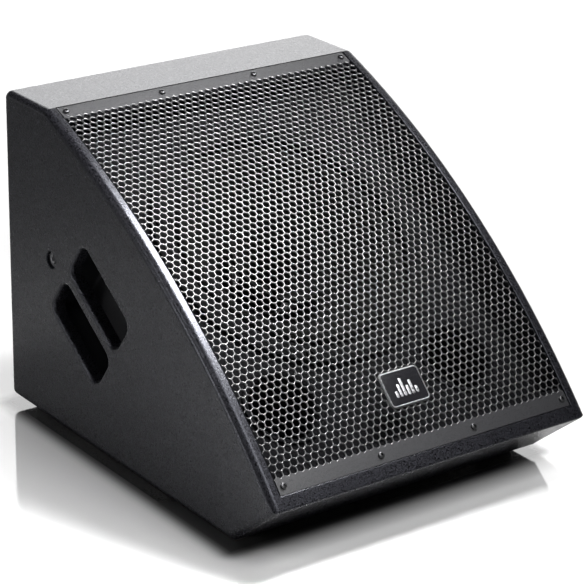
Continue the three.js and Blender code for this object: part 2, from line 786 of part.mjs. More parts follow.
// a folded tray: rim outside, four walls and a floor that carries the controls
function ampTray() {
  const [halfX, halfZ] = [TRAY_HALF_WIDTH, TRAY_HALF_HEIGHT];
  const rimX = halfX + TRAY_RIM;
  const rimZ = halfZ + TRAY_RIM;
  const rimBack = CABINET_DEPTH - TRAY_SHEET - GAP;
  const rim = box(-rimX, rimX, rimBack, CABINET_DEPTH - GAP, TRAY_Z - rimZ, TRAY_Z + rimZ);
  const floorBack = TRAY_FLOOR_Y - TRAY_SHEET;
  const dish = box(-halfX, halfX, floorBack, CABINET_DEPTH - GAP, TRAY_Z - halfZ, TRAY_Z + halfZ);
  const [innerX, innerZ] = [halfX - TRAY_SHEET, halfZ - TRAY_SHEET];
  const past = CABINET_DEPTH + OVERRUN;
  const recess = box(-innerX, innerX, TRAY_FLOOR_Y, past, TRAY_Z - innerZ, TRAY_Z + innerZ);
  const sockets = Object.values(socketX).map((x) => yRod(SOCKET_RADIUS + TRAY_CLEARANCE, x, SOCKET_Z, 16));
  const shafts = Object.values(knobX).map((x) => yRod(KNOB_SHAFT_RADIUS + TRAY_CLEARANCE, x, KNOB_Z, 10));
  const buttonHole = yRod(BUTTON_RADIUS + TRAY_CLEARANCE, BUTTON_X, KNOB_Z, 12);
  const ledHole = yRod(LED_RADIUS + TRAY_CLEARANCE, BUTTON_X, LED_Z, 10);
  const boxHoles = [inlet, powerSwitch].map((item) => (
    centredBox(item, TRAY_CLEARANCE, floorBack - OVERRUN, TRAY_FLOOR_Y + OVERRUN)
  ));
  return cut(join(rim, dish), recess, ...sockets, ...shafts, buttonHole, ledHole, ...boxHoles);
}

const HEATSINK_LOW_X = -94;
const HEATSINK_FINS = 11;
const FIN_PITCH = 8.4;
const FIN_THICKNESS = 2.6;
const FIN_HEIGHT = 13;
const FIN_ROOT = 4;
const HEATSINK_LENGTH = 148;

// a comb of fins drawn in (x, y) and drawn out upwards
function heatsink() {
  const base = TRAY_FLOOR_Y + GAP;
  const root = base + FIN_ROOT;
  const tip = root + FIN_HEIGHT;
  const right = HEATSINK_LOW_X + (HEATSINK_FINS - 1) * FIN_PITCH + FIN_THICKNESS;
  const points = [[HEATSINK_LOW_X, base], [right, base]];
  for (let fin = HEATSINK_FINS - 1; fin >= 0; fin -= 1) {
    const x = HEATSINK_LOW_X + fin * FIN_PITCH;
    points.push([x + FIN_THICKNESS, tip], [x, tip]);
    if (fin > 0) points.push([x, root], [x - FIN_PITCH + FIN_THICKNESS, root]);
  }
  const bars = new THREE.ExtrudeGeometry(polygon(points), { depth: HEATSINK_LENGTH, bevelEnabled: false });
  return bars.translate(0, 0, TRAY_Z - HEATSINK_LENGTH / 2);
}

const SOCKET_FLANGE_WIDTH = 26;
const SOCKET_FLANGE_HEIGHT = 31;
const SOCKET_MOUTH_RADIUS = 9;

// a round solid along y between two places
function socketRod(x, radius, lowY, highY) {
  const round = turnedAlongY([[0, lowY], [radius, lowY], [radius, highY], [0, highY]], 16);
  return round.translate(x, 0, SOCKET_Z);
}

// a chassis socket: square flange on the tray, round body through it, cavity from outside
function xlrSocket(x, ...notches) {
  const outline = roundedRectangle(SOCKET_FLANGE_WIDTH, SOCKET_FLANGE_HEIGHT, 3);
  const flange = new THREE.ExtrudeGeometry(outline, {
    depth: FLANGE_THICKNESS,
    bevelEnabled: false,
    curveSegments: 3,
  });
  flange.rotateX(Math.PI / 2).translate(x, FLANGE_FRONT_Y, SOCKET_Z);
  const body = socketRod(x, SOCKET_RADIUS, BODY_BACK_Y, FLANGE_FRONT_Y - FLANGE_THICKNESS / 2);
  const cavityBack = FLANGE_FRONT_Y - CAVITY_DEPTH;
  const cavity = socketRod(x, SOCKET_MOUTH_RADIUS, cavityBack, FLANGE_FRONT_Y + OVERRUN);
  return cut(join(flange, body), cavity, ...notches);
}

const latch = { x: socketX.input, z: SOCKET_Z + 12.4, width: 8, height: 4 };
const LATCH_BACK_Y = TRAY_FLOOR_Y + 1.9;
const LATCH_TRAVEL_ROOM = 2.1;

// the input's flange has a notch above its mouth for the release tab
function inputSocket() {
  const notchBack = LATCH_BACK_Y - LATCH_TRAVEL_ROOM;
  return xlrSocket(socketX.input, centredBox(latch, 0.4, notchBack, FLANGE_FRONT_Y + OVERRUN));
}

function linkSocket() {
  return xlrSocket(socketX.link);
}

function inputLatch() {
  return centredBox(latch, 0, LATCH_BACK_Y, LATCH_BACK_Y + 3);
}

const INLET_FLANGE_WIDTH = 48;
const INLET_FLANGE_HEIGHT = 23;
const INLET_WALL = 1.5;

function mainsInlet() {
  const ears = { ...inlet, width: INLET_FLANGE_WIDTH, height: INLET_FLANGE_HEIGHT };
  const flange = centredBox(ears, 0, FLANGE_FRONT_Y - FLANGE_THICKNESS, FLANGE_FRONT_Y);
  const body = centredBox(inlet, 0, BODY_BACK_Y, FLANGE_FRONT_Y - FLANGE_THICKNESS / 2);
  const cavityBack = FLANGE_FRONT_Y - CAVITY_DEPTH;
  const cavity = centredBox(inlet, -INLET_WALL, cavityBack, FLANGE_FRONT_Y + OVERRUN);
  return cut(join(flange, body), cavity);
}

const ROCKER_REACH = 10.6;
const ROCKER_HALF_WIDTH = 6.6;
const ROCKER_PIVOT_Y = TRAY_FLOOR_Y + 1;
const ROCKER_TILT = THREE.MathUtils.degToRad(9);

const ROCKER_FACE = 2.6;
const ROCKER_ROOT = -6;
const ROCKER_CLEARANCE = 0.9;
const SWITCH_FLANGE = 1.8;

function switchHousing() {
  const flange = centredBox(powerSwitch, SWITCH_FLANGE, FLANGE_FRONT_Y - FLANGE_THICKNESS, FLANGE_FRONT_Y);
  const body = centredBox(powerSwitch, 0, BODY_BACK_Y, FLANGE_FRONT_Y - FLANGE_THICKNESS / 2);
  const well = { ...powerSwitch, width: 2 * ROCKER_HALF_WIDTH, height: 2 * ROCKER_REACH };
  const cavityBack = FLANGE_FRONT_Y - CAVITY_DEPTH;
  const cavity = centredBox(well, ROCKER_CLEARANCE, cavityBack, FLANGE_FRONT_Y + OVERRUN);
  return cut(join(flange, body), cavity);
}

// a rocker with a dished face, at rest with its upper half pressed in
function switchRocker() {
  const shape = polygon([
    [ROCKER_ROOT, -ROCKER_REACH * 0.6],
    [ROCKER_FACE, -ROCKER_REACH],
    [ROCKER_FACE / 2, 0],
    [ROCKER_FACE, ROCKER_REACH],
    [ROCKER_ROOT, ROCKER_REACH * 0.6],
  ]);
  const bar = alongX(shape, -ROCKER_HALF_WIDTH, ROCKER_HALF_WIDTH);
  return bar.rotateX(ROCKER_TILT).translate(powerSwitch.x, ROCKER_PIVOT_Y, powerSwitch.z);
}

const KNOB_SKIRT_RADIUS = 8;
const KNOB_TOP_RADIUS = 5.8;
const KNOB_SKIRT_Y = TRAY_FLOOR_Y + 1;
const KNOB_TOP_Y = TRAY_FLOOR_Y + 14;
const SHAFT_BACK_Y = BODY_BACK_Y + 4;

function knob(x) {
  return turnedAlongY([
    [0, SHAFT_BACK_Y],
    [KNOB_SHAFT_RADIUS, SHAFT_BACK_Y],
    [KNOB_SHAFT_RADIUS, KNOB_SKIRT_Y],
    [KNOB_SKIRT_RADIUS, KNOB_SKIRT_Y],
    [KNOB_TOP_RADIUS + 1, KNOB_TOP_Y - 1],
    [KNOB_TOP_RADIUS, KNOB_TOP_Y],
    [0, KNOB_TOP_Y],
  ], 18).translate(x, 0, KNOB_Z);
}

const BUTTON_STEM_RADIUS = 2;
const BUTTON_STEM_BACK_Y = BODY_BACK_Y + 5;
const BUTTON_CAP_BACK_Y = TRAY_FLOOR_Y - 4.5;
const BUTTON_TOP_Y = TRAY_FLOOR_Y + 4.6;

function presetButton() {
  return turnedAlongY([
    [0, BUTTON_STEM_BACK_Y],
    [BUTTON_STEM_RADIUS, BUTTON_STEM_BACK_Y],
    [BUTTON_STEM_RADIUS, BUTTON_CAP_BACK_Y],
    [BUTTON_RADIUS, BUTTON_CAP_BACK_Y],
    [BUTTON_RADIUS, BUTTON_TOP_Y - 0.6],
    [BUTTON_RADIUS - 0.7, BUTTON_TOP_Y],
    [0, BUTTON_TOP_Y],
  ], 14).translate(BUTTON_X, 0, KNOB_Z);
}

function statusLed() {
  return turnedAlongY([
    [0, TRAY_FLOOR_Y - 8],
    [LED_RADIUS, TRAY_FLOOR_Y - 8],
    [LED_RADIUS, TRAY_FLOOR_Y + 0.8],
    [LED_RADIUS * 0.6, TRAY_FLOOR_Y + 2],
    [0, TRAY_FLOOR_Y + 2.3],
  ], 12).translate(BUTTON_X, 0, LED_Z);
}

const BOARD_THICKNESS = 1.6;
const BOARD_HALF_WIDTH = 92;
const BOARD_HALF_HEIGHT = 72;
const BOARD_BACK_Y = BODY_BACK_Y - GAP;
const BOARD_FRONT_Y = BOARD_BACK_Y - BOARD_THICKNESS;

function ampBoard() {
  const [low, high] = [TRAY_Z - BOARD_HALF_HEIGHT, TRAY_Z + BOARD_HALF_HEIGHT];
  return box(-BOARD_HALF_WIDTH, BOARD_HALF_WIDTH, BOARD_FRONT_Y, BOARD_BACK_Y, low, high);
}

const TRANSFORMER_OUTER = 42;
const TRANSFORMER_INNER = 12;
const TRANSFORMER_HEIGHT = 28;
const TRANSFORMER_X = -44;
const TRANSFORMER_Z = 176;

// a ring core, wound all round, with rounded edges
function powerTransformer() {
  const back = BOARD_FRONT_Y - GAP;
  const front = back - TRANSFORMER_HEIGHT;
  const [outer, inner, edge] = [TRANSFORMER_OUTER, TRANSFORMER_INNER, 4.5];
  const ring = turnedAlongY([
    [inner, front + edge],
    [inner + edge, front],
    [outer - edge, front],
    [outer, front + edge],
    [outer, back - edge],
    [outer - edge, back],
    [inner + edge, back],
    [inner, back - edge],
  ], 22);
  return ring.translate(TRANSFORMER_X, 0, TRANSFORMER_Z);
}

// ---------------------------------------------------------------- lead to the driver

const LEAD_RADIUS = 2.2;

// a round lead in a slack curve, from the board to a terminal on the driver
function driverLead() {
  const route = new THREE.CatmullRomCurve3([
    new THREE.Vector3(30, 369, 108),
    new THREE.Vector3(34, 352, 104),
    new THREE.Vector3(50, 338, 140),
    new THREE.Vector3(66, 322, 150),
  ]);
  const section = new THREE.Shape().absarc(0, 0, LEAD_RADIUS, 0, Math.PI * 2, false);
  return new THREE.ExtrudeGeometry(section, { steps: 16, curveSegments: 4, extrudePath: route });
}

// ---------------------------------------------------------------- putting it together

place('left_side_panel', sidePanel(-1), paint);
place('right_side_panel', sidePanel(1), paint);
place('top_panel', topPanel(), paint);
place('bottom_panel', bottomPanel(), paint);
place('back_panel', backPanel(), paint);
place('lower_front_panel', lowerFrontPanel(), paint);

place('upper_grille_batten', batten(GRILLE_TOP - BATTEN_LENGTH, GRILLE_TOP), innerWood);
place('lower_grille_batten', batten(GRILLE_BOTTOM, GRILLE_BOTTOM + BATTEN_LENGTH), innerWood);
place('grille', grille(), grilleSteel);
grilleScrewPlaces().forEach(([x, distance], index) => {
  place(`grille_screw_${index + 1}`, grilleScrew(), blackScrew, frontGroup(x, distance, GRILLE_RECESS));
});
place('badge', badge(), badgeFace, frontGroup(0, BADGE_DISTANCE, GRILLE_RECESS));

for (const [word, side] of [['left', -1], ['right', 1]]) {
  place(`${word}_handle_pocket`, handlePocket(side), blackPlastic);
  place(`${word}_bracket_insert`, bracketInsert(side), plainSteel);
  const port = place(`${word}_port_tube`, portTube(), blackPlastic, baffleGroup);
  port.position.set(side * PORT_X, PORT_UP, 0);
}

footPlaces().forEach(([x, y], index) => {
  place(`foot_${index + 1}`, foot(), rubber).position.set(x, y, 0);
  place(`foot_screw_${index + 1}`, footScrew(), plainSteel).position.set(x, y, 0);
});

place('baffle', baffle(), innerWood, baffleGroup);
place('woofer_gasket', gasket(), rubber, driver);
place('woofer_basket', basket(), castMetal, driver);
place('woofer_top_plate', topPlate(), plainSteel, driver);
place('woofer_magnet', magnet(), ferrite, driver);
place('woofer_pole_piece', polePiece(), plainSteel, driver);
place('voice_coil', voiceCoil(), copper, driver);
place('woofer_cone', cone(), paperCone, driver);
place('woofer_surround', surround(), clothEdge, driver);
place('woofer_spider', spider(), clothEdge, driver);
place('horn', horn(), blackPlastic, driver);
place('compression_driver', compressionDriver(), castMetal, driver);

place('amp_tray', ampTray(), trayPaint);
place('heatsink', heatsink(), finMetal);
place('input_socket', inputSocket(), blackPlastic);
place('input_latch', inputLatch(), plainSteel);
place('link_socket', linkSocket(), blackPlastic);
place('mains_inlet', mainsInlet(), blackPlastic);
place('power_switch_housing', switchHousing(), blackPlastic);
place('power_switch_rocker', switchRocker(), blackPlastic);
for (const [word, x] of Object.entries(knobX)) place(`${word}_knob`, knob(x), knobGrey);
place('preset_button', presetButton(), knobGrey);
place('status_led', statusLed(), ledGreen);
place('amp_board', ampBoard(), boardGreen);
place('power_transformer', powerTransformer(), copper);
place('driver_lead', driverLead(), wireRed);

export default wedge;
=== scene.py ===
"""Looks of a powered stage monitor wedge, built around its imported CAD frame. All sizes are in metres."""

import json
import math

import bmesh
import bpy
from mathutils import Matrix, Vector


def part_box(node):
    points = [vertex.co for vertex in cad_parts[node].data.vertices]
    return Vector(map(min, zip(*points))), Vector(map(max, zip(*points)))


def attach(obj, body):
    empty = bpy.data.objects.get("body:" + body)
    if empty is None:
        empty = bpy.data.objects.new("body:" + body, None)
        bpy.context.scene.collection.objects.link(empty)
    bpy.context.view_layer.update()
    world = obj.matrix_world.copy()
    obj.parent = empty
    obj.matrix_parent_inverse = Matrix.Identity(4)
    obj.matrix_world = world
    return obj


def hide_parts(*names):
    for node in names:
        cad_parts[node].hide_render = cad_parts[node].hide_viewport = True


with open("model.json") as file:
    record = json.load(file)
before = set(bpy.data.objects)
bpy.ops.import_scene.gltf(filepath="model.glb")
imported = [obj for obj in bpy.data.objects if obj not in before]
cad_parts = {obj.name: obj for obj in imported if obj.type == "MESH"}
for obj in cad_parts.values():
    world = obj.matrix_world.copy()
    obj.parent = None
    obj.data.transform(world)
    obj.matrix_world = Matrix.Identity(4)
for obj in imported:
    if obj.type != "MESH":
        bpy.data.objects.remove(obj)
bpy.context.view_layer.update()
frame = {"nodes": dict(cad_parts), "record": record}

# ---- sizes taken from the frame

left_low, left_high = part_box("left_side_panel")
right_low, right_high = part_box("right_side_panel")
tray_low, tray_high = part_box("amp_tray")

HALF_WIDTH = right_high.x
INNER_HALF = right_low.x
PANEL = HALF_WIDTH - INNER_HALF
FRONT_Y = left_low.y
BACK_Y = left_high.y
UNDER_Z = left_low.z
TOP_Z = left_high.z

# the side profile, as in the CAD model
LIP_HEIGHT = 0.049
RETURN_DEPTH = 0.0595
TOP_DEPTH = 0.0695
FRONT_BULGE = 0.026
EDGE_ROUND = 0.0068
LIP_ROUND = 0.0022
CREST_ROUND = 0.003
RETURN_ROUND = 0.002
CORNER_STEPS = 6
ARC_STEPS = 56
GAP = 0.0003
MM = 0.001

# ---- mesh helpers

MERGE_DISTANCE = 1e-6
TURNED_CENTRE = 1e-5
SHARP_DEGREES = 35.0


def new_object(name, data):
    made = bpy.data.objects.new(name, data)
    bpy.context.scene.collection.objects.link(made)
    return made


def shade(mesh, sharp_degrees=SHARP_DEGREES):
    mesh.polygons.foreach_set("use_smooth", [True] * len(mesh.polygons))
    mesh.set_sharp_from_angle(angle=math.radians(sharp_degrees))


def from_bmesh(name, bm, sharp_degrees=SHARP_DEGREES):
    """Turns a bmesh into an object with smooth faces and sharp edges above the angle."""
    bmesh.ops.recalc_face_normals(bm, faces=bm.faces)
    mesh = bpy.data.meshes.new(name)
    bm.to_mesh(mesh)
    bm.free()
    shade(mesh, sharp_degrees)
    return new_object(name, mesh)


def ring_stack(name, loops, closed=False, sharp_degrees=SHARP_DEGREES):
    """Skins loops of equal length one after the other, with end caps unless the last joins the first."""
    bm = bmesh.new()
    rings = [[bm.verts.new(point) for point in loop] for loop in loops]
    pairs = list(zip(rings, rings[1:]))
    if closed:
        pairs.append((rings[-1], rings[0]))
    count = len(rings[0])
    for one, two in pairs:
        for i in range(count):
            j = (i + 1) % count
            bm.faces.new((one[i], one[j], two[j], two[i]))
    if not closed:
        bm.faces.new(list(reversed(rings[0])))
        bm.faces.new(rings[-1])
    bmesh.ops.remove_doubles(bm, verts=bm.verts, dist=MERGE_DISTANCE)
    return from_bmesh(name, bm, sharp_degrees)


def ring(reach, height, count):
    """Points at even angles round z, each as far out as reach(angle) says."""
    angles = [2 * math.pi * i / count for i in range(count)]
    return [(reach(a) * math.cos(a), reach(a) * math.sin(a), height) for a in angles]


def circle(radius, height, count):
    return ring(lambda angle: radius, height, count)


def turned(name, profile, count=32, closed=False):
    """A shape turned round z from [radius, height] points."""
    loops = [circle(max(radius, TURNED_CENTRE), height, count) for radius, height in profile]
    return ring_stack(name, loops, closed)


def turned_mm(name, outline, count, closed=True):
    """A turned shape whose points are given in millimetres."""
    return turned(name, [(radius * MM, height * MM) for radius, height in outline], count, closed)


def arc_points(middle, radius, start_degrees, end_degrees, steps):
    """Points along part of a circle."""
    points = []
    for i in range(steps + 1):
        angle = math.radians(start_degrees + (end_degrees - start_degrees) * i / steps)
        points.append((middle[0] + radius * math.cos(angle), middle[1] + radius * math.sin(angle)))
    return points


def rounded_rectangle(width, height, corner, steps=6):
    w, h = width / 2 - corner, height / 2 - corner
    points = []
    for x, y, start in ((w, -h, -90), (w, h, 0), (-w, h, 90), (-w, -h, 180)):
        points += arc_points((x, y), corner, start, start + 90, steps)
    return points


def quarter_round(radius, steps=8):
    """Pairs of (sideways inset, depth) round an edge, from the flat face to the straight side."""
    angles = [math.pi / 2 * i / steps for i in range(steps + 1)]
    return [(radius * (1 - math.sin(angle)), radius * (1 - math.cos(angle))) for angle in angles]


def at_height(outline, height):
    return [(a, b, height) for a, b in outline]


def prism(name, outline, heights):
    """The same outline at each height, skinned."""
    return ring_stack(name, [at_height(outline, height) for height in heights])


def soft_plate(name, width, height, corner, low, high, soft):
    """A rounded rectangular plate with softened front edges."""
    loops = [at_height(rounded_rectangle(width, height, corner), low)]
    for inset, depth in reversed(quarter_round(soft, 4)):
        outline = rounded_rectangle(width - 2 * inset, height - 2 * inset, max(corner - inset, 0.0002))
        loops.append(at_height(outline, high - depth))
    return ring_stack(name, loops)


def merge_objects(name, pieces):
    """Joins several pieces into the first, under one name."""
    bpy.ops.object.select_all(action="DESELECT")
    for piece in pieces:
        piece.select_set(True)
    bpy.context.view_layer.objects.active = pieces[0]
    bpy.ops.object.join()
    joined = bpy.context.view_layer.objects.active
    joined.select_set(False)
    joined.name = name
    return joined


def apply_modifiers(piece):
    graph = bpy.context.evaluated_depsgraph_get()
    graph.update()
    mesh = bpy.data.meshes.new_from_object(piece.evaluated_get(graph))
    piece.modifiers.clear()
    old = piece.data
    piece.data = mesh
    bpy.data.meshes.remove(old)


def subtract(piece, cutters):
    """Cuts each cutter out of the piece and removes the cutter."""
    for cutter in cutters:
        modifier = piece.modifiers.new("cut", "BOOLEAN")
        modifier.operation = "DIFFERENCE"
        modifier.solver = "EXACT"
        modifier.object = cutter
        apply_modifiers(piece)
        bpy.data.objects.remove(cutter, do_unlink=True)


def weigh_normals(piece):
    """Keeps large flat faces flat where they meet a fine round edge."""
    shade(piece.data)
    modifier = piece.modifiers.new("weighted", "WEIGHTED_NORMAL")
    modifier.keep_sharp = True
    modifier.weight = 100
    apply_modifiers(piece)


def move(piece, matrix):
    piece.data.transform(matrix)
    return piece


def shift(piece, x, y, z=0.0):
    return move(piece, Matrix.Translation((x, y, z)))


def node_middle(name):
    low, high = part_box(name)
    return (low + high) / 2


def dress(piece, look):
    piece.data.materials.clear()
    piece.data.materials.append(look)


def finish_piece(piece, look, slot, *nodes, body="cabinet", place=None):
    """Puts a piece in its place, gives it a look, parents it to its body's empty and hides the nodes it
    replaces.
    """
    if place is not None:
        move(piece, place)
    dress(piece, look)
    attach(piece, body)
    if nodes:
        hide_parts(*nodes)


# ---- the side profile in (y, z)


def unit(y, z):
    length = math.hypot(y, z)
    return y / length, z / length


def fillet(corner, way_in, way_out, radius):
    """Rounds a corner of a loop that turns left; gives the points and how far they reach along each edge."""
    cross = way_in[0] * way_out[1] - way_in[1] * way_out[0]
    dot = way_in[0] * way_out[0] + way_in[1] * way_out[1]
    turn = math.atan2(cross, dot)
    reach = radius * math.tan(turn / 2)
    start = (corner[0] - way_in[0] * reach, corner[1] - way_in[1] * reach)
    centre = (start[0] - way_in[1] * radius, start[1] + way_in[0] * radius)
    arm = (start[0] - centre[0], start[1] - centre[1])
    points = []
    for i in range(CORNER_STEPS + 1):
        a = turn * i / CORNER_STEPS
        points.append((
            centre[0] + arm[0] * math.cos(a) - arm[1] * math.sin(a),
            centre[1] + arm[0] * math.sin(a) + arm[1] * math.cos(a),
        ))
    return points, reach


lip = (FRONT_Y, UNDER_Z + LIP_HEIGHT)
crest = (BACK_Y - TOP_DEPTH, TOP_Z)
chord_length = math.hypot(crest[0] - lip[0], crest[1] - lip[1])
up_slope = unit(crest[0] - lip[0], crest[1] - lip[1])
SLOPE = math.atan2(up_slope[1], up_slope[0])
inward = (up_slope[1], -up_slope[0])
FRONT_RADIUS = (chord_length ** 2 / 4 + FRONT_BULGE ** 2) / (2 * FRONT_BULGE)


def under_chord(depth):
    """The point in (y, z) at a depth below the middle of the front's chord."""
    return (lip[0] + crest[0]) / 2 + inward[0] * depth, (lip[1] + crest[1]) / 2 + inward[1] * depth


arc_centre = under_chord(FRONT_RADIUS - FRONT_BULGE)


def arc_angle(y, z):
    return math.atan2(z - arc_centre[1], y - arc_centre[0])


LIP_ANGLE = arc_angle(*lip)
CREST_ANGLE = arc_angle(*crest)
ARC_LENGTH = FRONT_RADIUS * (LIP_ANGLE - CREST_ANGLE)


def arc_point(angle, radius):
    return arc_centre[0] + radius * math.cos(angle), arc_centre[1] + radius * math.sin(angle)


def front_point(distance, below=0.0):
    """A point in (y, z) at a distance up the front from the lip, and a depth below its surface."""
    return arc_point(LIP_ANGLE - distance / FRONT_RADIUS, FRONT_RADIUS - below)


def front_matrix(name, below):
    """A frame over a node on the front, with its z axis outwards and its y axis up the slope."""
    middle = node_middle(name)
    distance = FRONT_RADIUS * (LIP_ANGLE - arc_angle(middle.y, middle.z))
    turn = LIP_ANGLE - distance / FRONT_RADIUS - math.pi / 2
    return Matrix.Translation((middle.x, *front_point(distance, below))) @ Matrix.Rotation(turn, 4, "X")


def profile_loop(inset):
    """The cabinet's outline in (y, z), moved in by an even distance. Its number of points never changes."""
    radius = FRONT_RADIUS - inset
    low, high, back = UNDER_Z + inset, TOP_Z - inset, BACK_Y - inset
    return_way = unit(RETURN_DEPTH, -LIP_HEIGHT)
    start = (lip[0] - return_way[1] * inset, lip[1] + return_way[0] * inset)

    # where the return's line meets the underside and the front's circle
    heel = (start[0] + return_way[0] * (low - start[1]) / return_way[1], low)
    offset = (start[0] - arc_centre[0], start[1] - arc_centre[1])
    along = offset[0] * return_way[0] + offset[1] * return_way[1]
    square = offset[0] ** 2 + offset[1] ** 2 - radius ** 2
    half_chord = math.sqrt(along ** 2 - square)
    shift_along = min(-along - half_chord, -along + half_chord, key=abs)
    toe = (start[0] + return_way[0] * shift_along, start[1] + return_way[1] * shift_along)
    top = (arc_centre[0] - math.sqrt(radius ** 2 - (high - arc_centre[1]) ** 2), high)
    toe_angle, top_angle = arc_angle(*toe), arc_angle(*top)

    corners = (
        (heel, return_way, (1, 0), RETURN_ROUND),
        ((back, low), (1, 0), (0, 1), EDGE_ROUND),
        ((back, high), (0, 1), (-1, 0), EDGE_ROUND),
        (top, (-1, 0), (-math.sin(top_angle), math.cos(top_angle)), CREST_ROUND),
        (toe, (-math.sin(toe_angle), math.cos(toe_angle)), return_way, LIP_ROUND),
    )
    rounds = [fillet(*corner, max(size - inset, 0.0)) for *corner, size in corners]
    first = top_angle + rounds[3][1] / radius
    last = toe_angle - rounds[4][1] / radius
    arc = [arc_point(first + (last - first) * i / ARC_STEPS, radius) for i in range(1, ARC_STEPS)]
    return sum((points for points, _ in rounds[:4]), []) + arc + rounds[4][0]


def mirrored(sections):
    """Loops in space from (x, outline) pairs: the left side's in order, then the right side's back again."""
    left = [[(-x, y, z) for y, z in outline] for x, outline in sections]
    return left + [[(x, y, z) for y, z in outline] for x, outline in reversed(sections)]


# ---- cabinet shell

LIP_FACE = 0.0132
WELL_ROUND = 0.0009
WELL_STEPS = 60
WELL_OVER = 0.02
SLOT_LENGTH = 0.088
SLOT_WIDTH = 0.040
SLOT_CORNER = 0.010
SLOT_ROUND = 0.0034
GRIP_WIDTH = 0.013
INSERT_HOLE_RADIUS = 0.0077
INSERT_CHAMFER = 0.0006
TRAY_RIM = 0.012
TRAY_PLAY = 0.0005
TRAY_SHEET = 0.002
BEHIND_PANEL = 0.004

pocket_low, pocket_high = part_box("left_handle_pocket")
HANDLE_Y = (pocket_low.y + pocket_high.y) / 2
HANDLE_Z = (pocket_low.z + pocket_high.z) / 2
insert_low, insert_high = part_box("left_bracket_insert")
INSERT_Y = (insert_low.y + insert_high.y) / 2
INSERT_Z = (insert_low.z + insert_high.z) / 2
TRAY_X = (tray_low.x + tray_high.x) / 2
TRAY_Z = (tray_low.z + tray_high.z) / 2
TRAY_WIDTH = tray_high.x - tray_low.x
TRAY_HEIGHT = tray_high.z - tray_low.z


def cabinet_block():
    """The whole outer form as one solid, with every long edge rounded."""
    edge = quarter_round(EDGE_ROUND)
    sections = [(HALF_WIDTH - depth, profile_loop(inset)) for inset, depth in edge]
    return ring_stack("cabinet_shell", mirrored(sections))


def front_cutter():
    """The well the grille lies in, with soft edges along the side panels and the lip."""
    reach = ARC_LENGTH + GAP - LIP_FACE
    span = [LIP_FACE + reach * i / WELL_STEPS for i in range(WELL_STEPS + 1)]

    def loop(depth):
        soft = min(depth, WELL_ROUND)
        under = [front_point(distance, depth) for distance in span]
        over = [front_point(distance, -WELL_OVER) for distance in reversed(span)]
        edge = [front_point(LIP_FACE - soft, below) for below in (-WELL_OVER, 0.0)]
        return under + over + edge + [front_point(LIP_FACE - soft * 0.3, soft * 0.3)]

    sections = [(INNER_HALF + inset, loop(depth)) for inset, depth in quarter_round(WELL_ROUND, 4)]
    return ring_stack("front", mirrored(sections + [(INNER_HALF, loop(PANEL + BEHIND_PANEL))]))


def handle_loop(side, depth, width, height, corner, across_shift=0.0):
    """A rounded rectangle square to the front's slope, at the handle's place."""
    x = side * (HALF_WIDTH - depth)
    cosine, sine = math.cos(SLOPE), math.sin(SLOPE)
    points = []
    for along, across in rounded_rectangle(width, height, corner, steps=8):
        v = across + across_shift
        points.append((x, HANDLE_Y + along * cosine - v * sine, HANDLE_Z + along * sine + v * cosine))
    return points


def slot_cutter(side, across_shift):
    """A slot whose mouth flares, which leaves a rounded edge on the panel."""
    sections = [(SLOT_ROUND, -0.003)] + quarter_round(SLOT_ROUND) + [(0.0, PANEL + 0.006)]
    loops = []
    for grow, depth in sections:
        length, width = SLOT_LENGTH + 2 * grow, SLOT_WIDTH + 2 * grow
        loops.append(handle_loop(side, depth, length, width, SLOT_CORNER + grow, across_shift))
    return ring_stack("slot", loops)


def hole_cutter(side):
    """The hole for the bracket insert, with a chamfered mouth."""
    chamfer = INSERT_CHAMFER
    loops = []
    for depth, grow in ((-0.002, chamfer), (0.0, chamfer), (chamfer, 0.0), (PANEL + BEHIND_PANEL, 0.0)):
        x = side * (HALF_WIDTH - depth)
        mouth = circle(INSERT_HOLE_RADIUS + grow, 0.0, 40)
        loops.append([(x, INSERT_Y + a, INSERT_Z + b) for a, b, _ in mouth])
    return ring_stack("hole", loops)


def tray_loop(y, grow, corner):
    """A rounded rectangle round the tray's well, at a distance out from the inner edge of its rim."""
    width, height = TRAY_WIDTH - 2 * TRAY_RIM, TRAY_HEIGHT - 2 * TRAY_RIM
    outline = rounded_rectangle(width + 2 * grow, height + 2 * grow, corner)
    return [(TRAY_X + a, y, TRAY_Z + b) for a, b in outline]


def tray_cutter():
    """The opening in the back, with a shallow rebate for the tray's rim."""
    rebate = TRAY_RIM + TRAY_PLAY
    rim_y = tray_high.y - TRAY_SHEET - GAP
    sections = (
        (BACK_Y + 0.01, rebate, 0.004),
        (rim_y, rebate, 0.004),
        (rim_y, TRAY_PLAY, 0.003),
        (BACK_Y - 0.03, TRAY_PLAY, 0.003),
    )
    return ring_stack("tray_opening", [tray_loop(*section) for section in sections])


def cabinet_shell():
    shell = cabinet_block()
    slot_shift = (SLOT_WIDTH + GRIP_WIDTH) / 2
    cavity = ring_stack("cavity", mirrored([(INNER_HALF, profile_loop(PANEL))]))
    cutters = [cavity, front_cutter(), tray_cutter()]
    for side in (-1, 1):
        cutters += [slot_cutter(side, slot_shift), slot_cutter(side, -slot_shift), hole_cutter(side)]
    subtract(shell, cutters)
    weigh_normals(shell)
    return shell


# ---- perforated grille

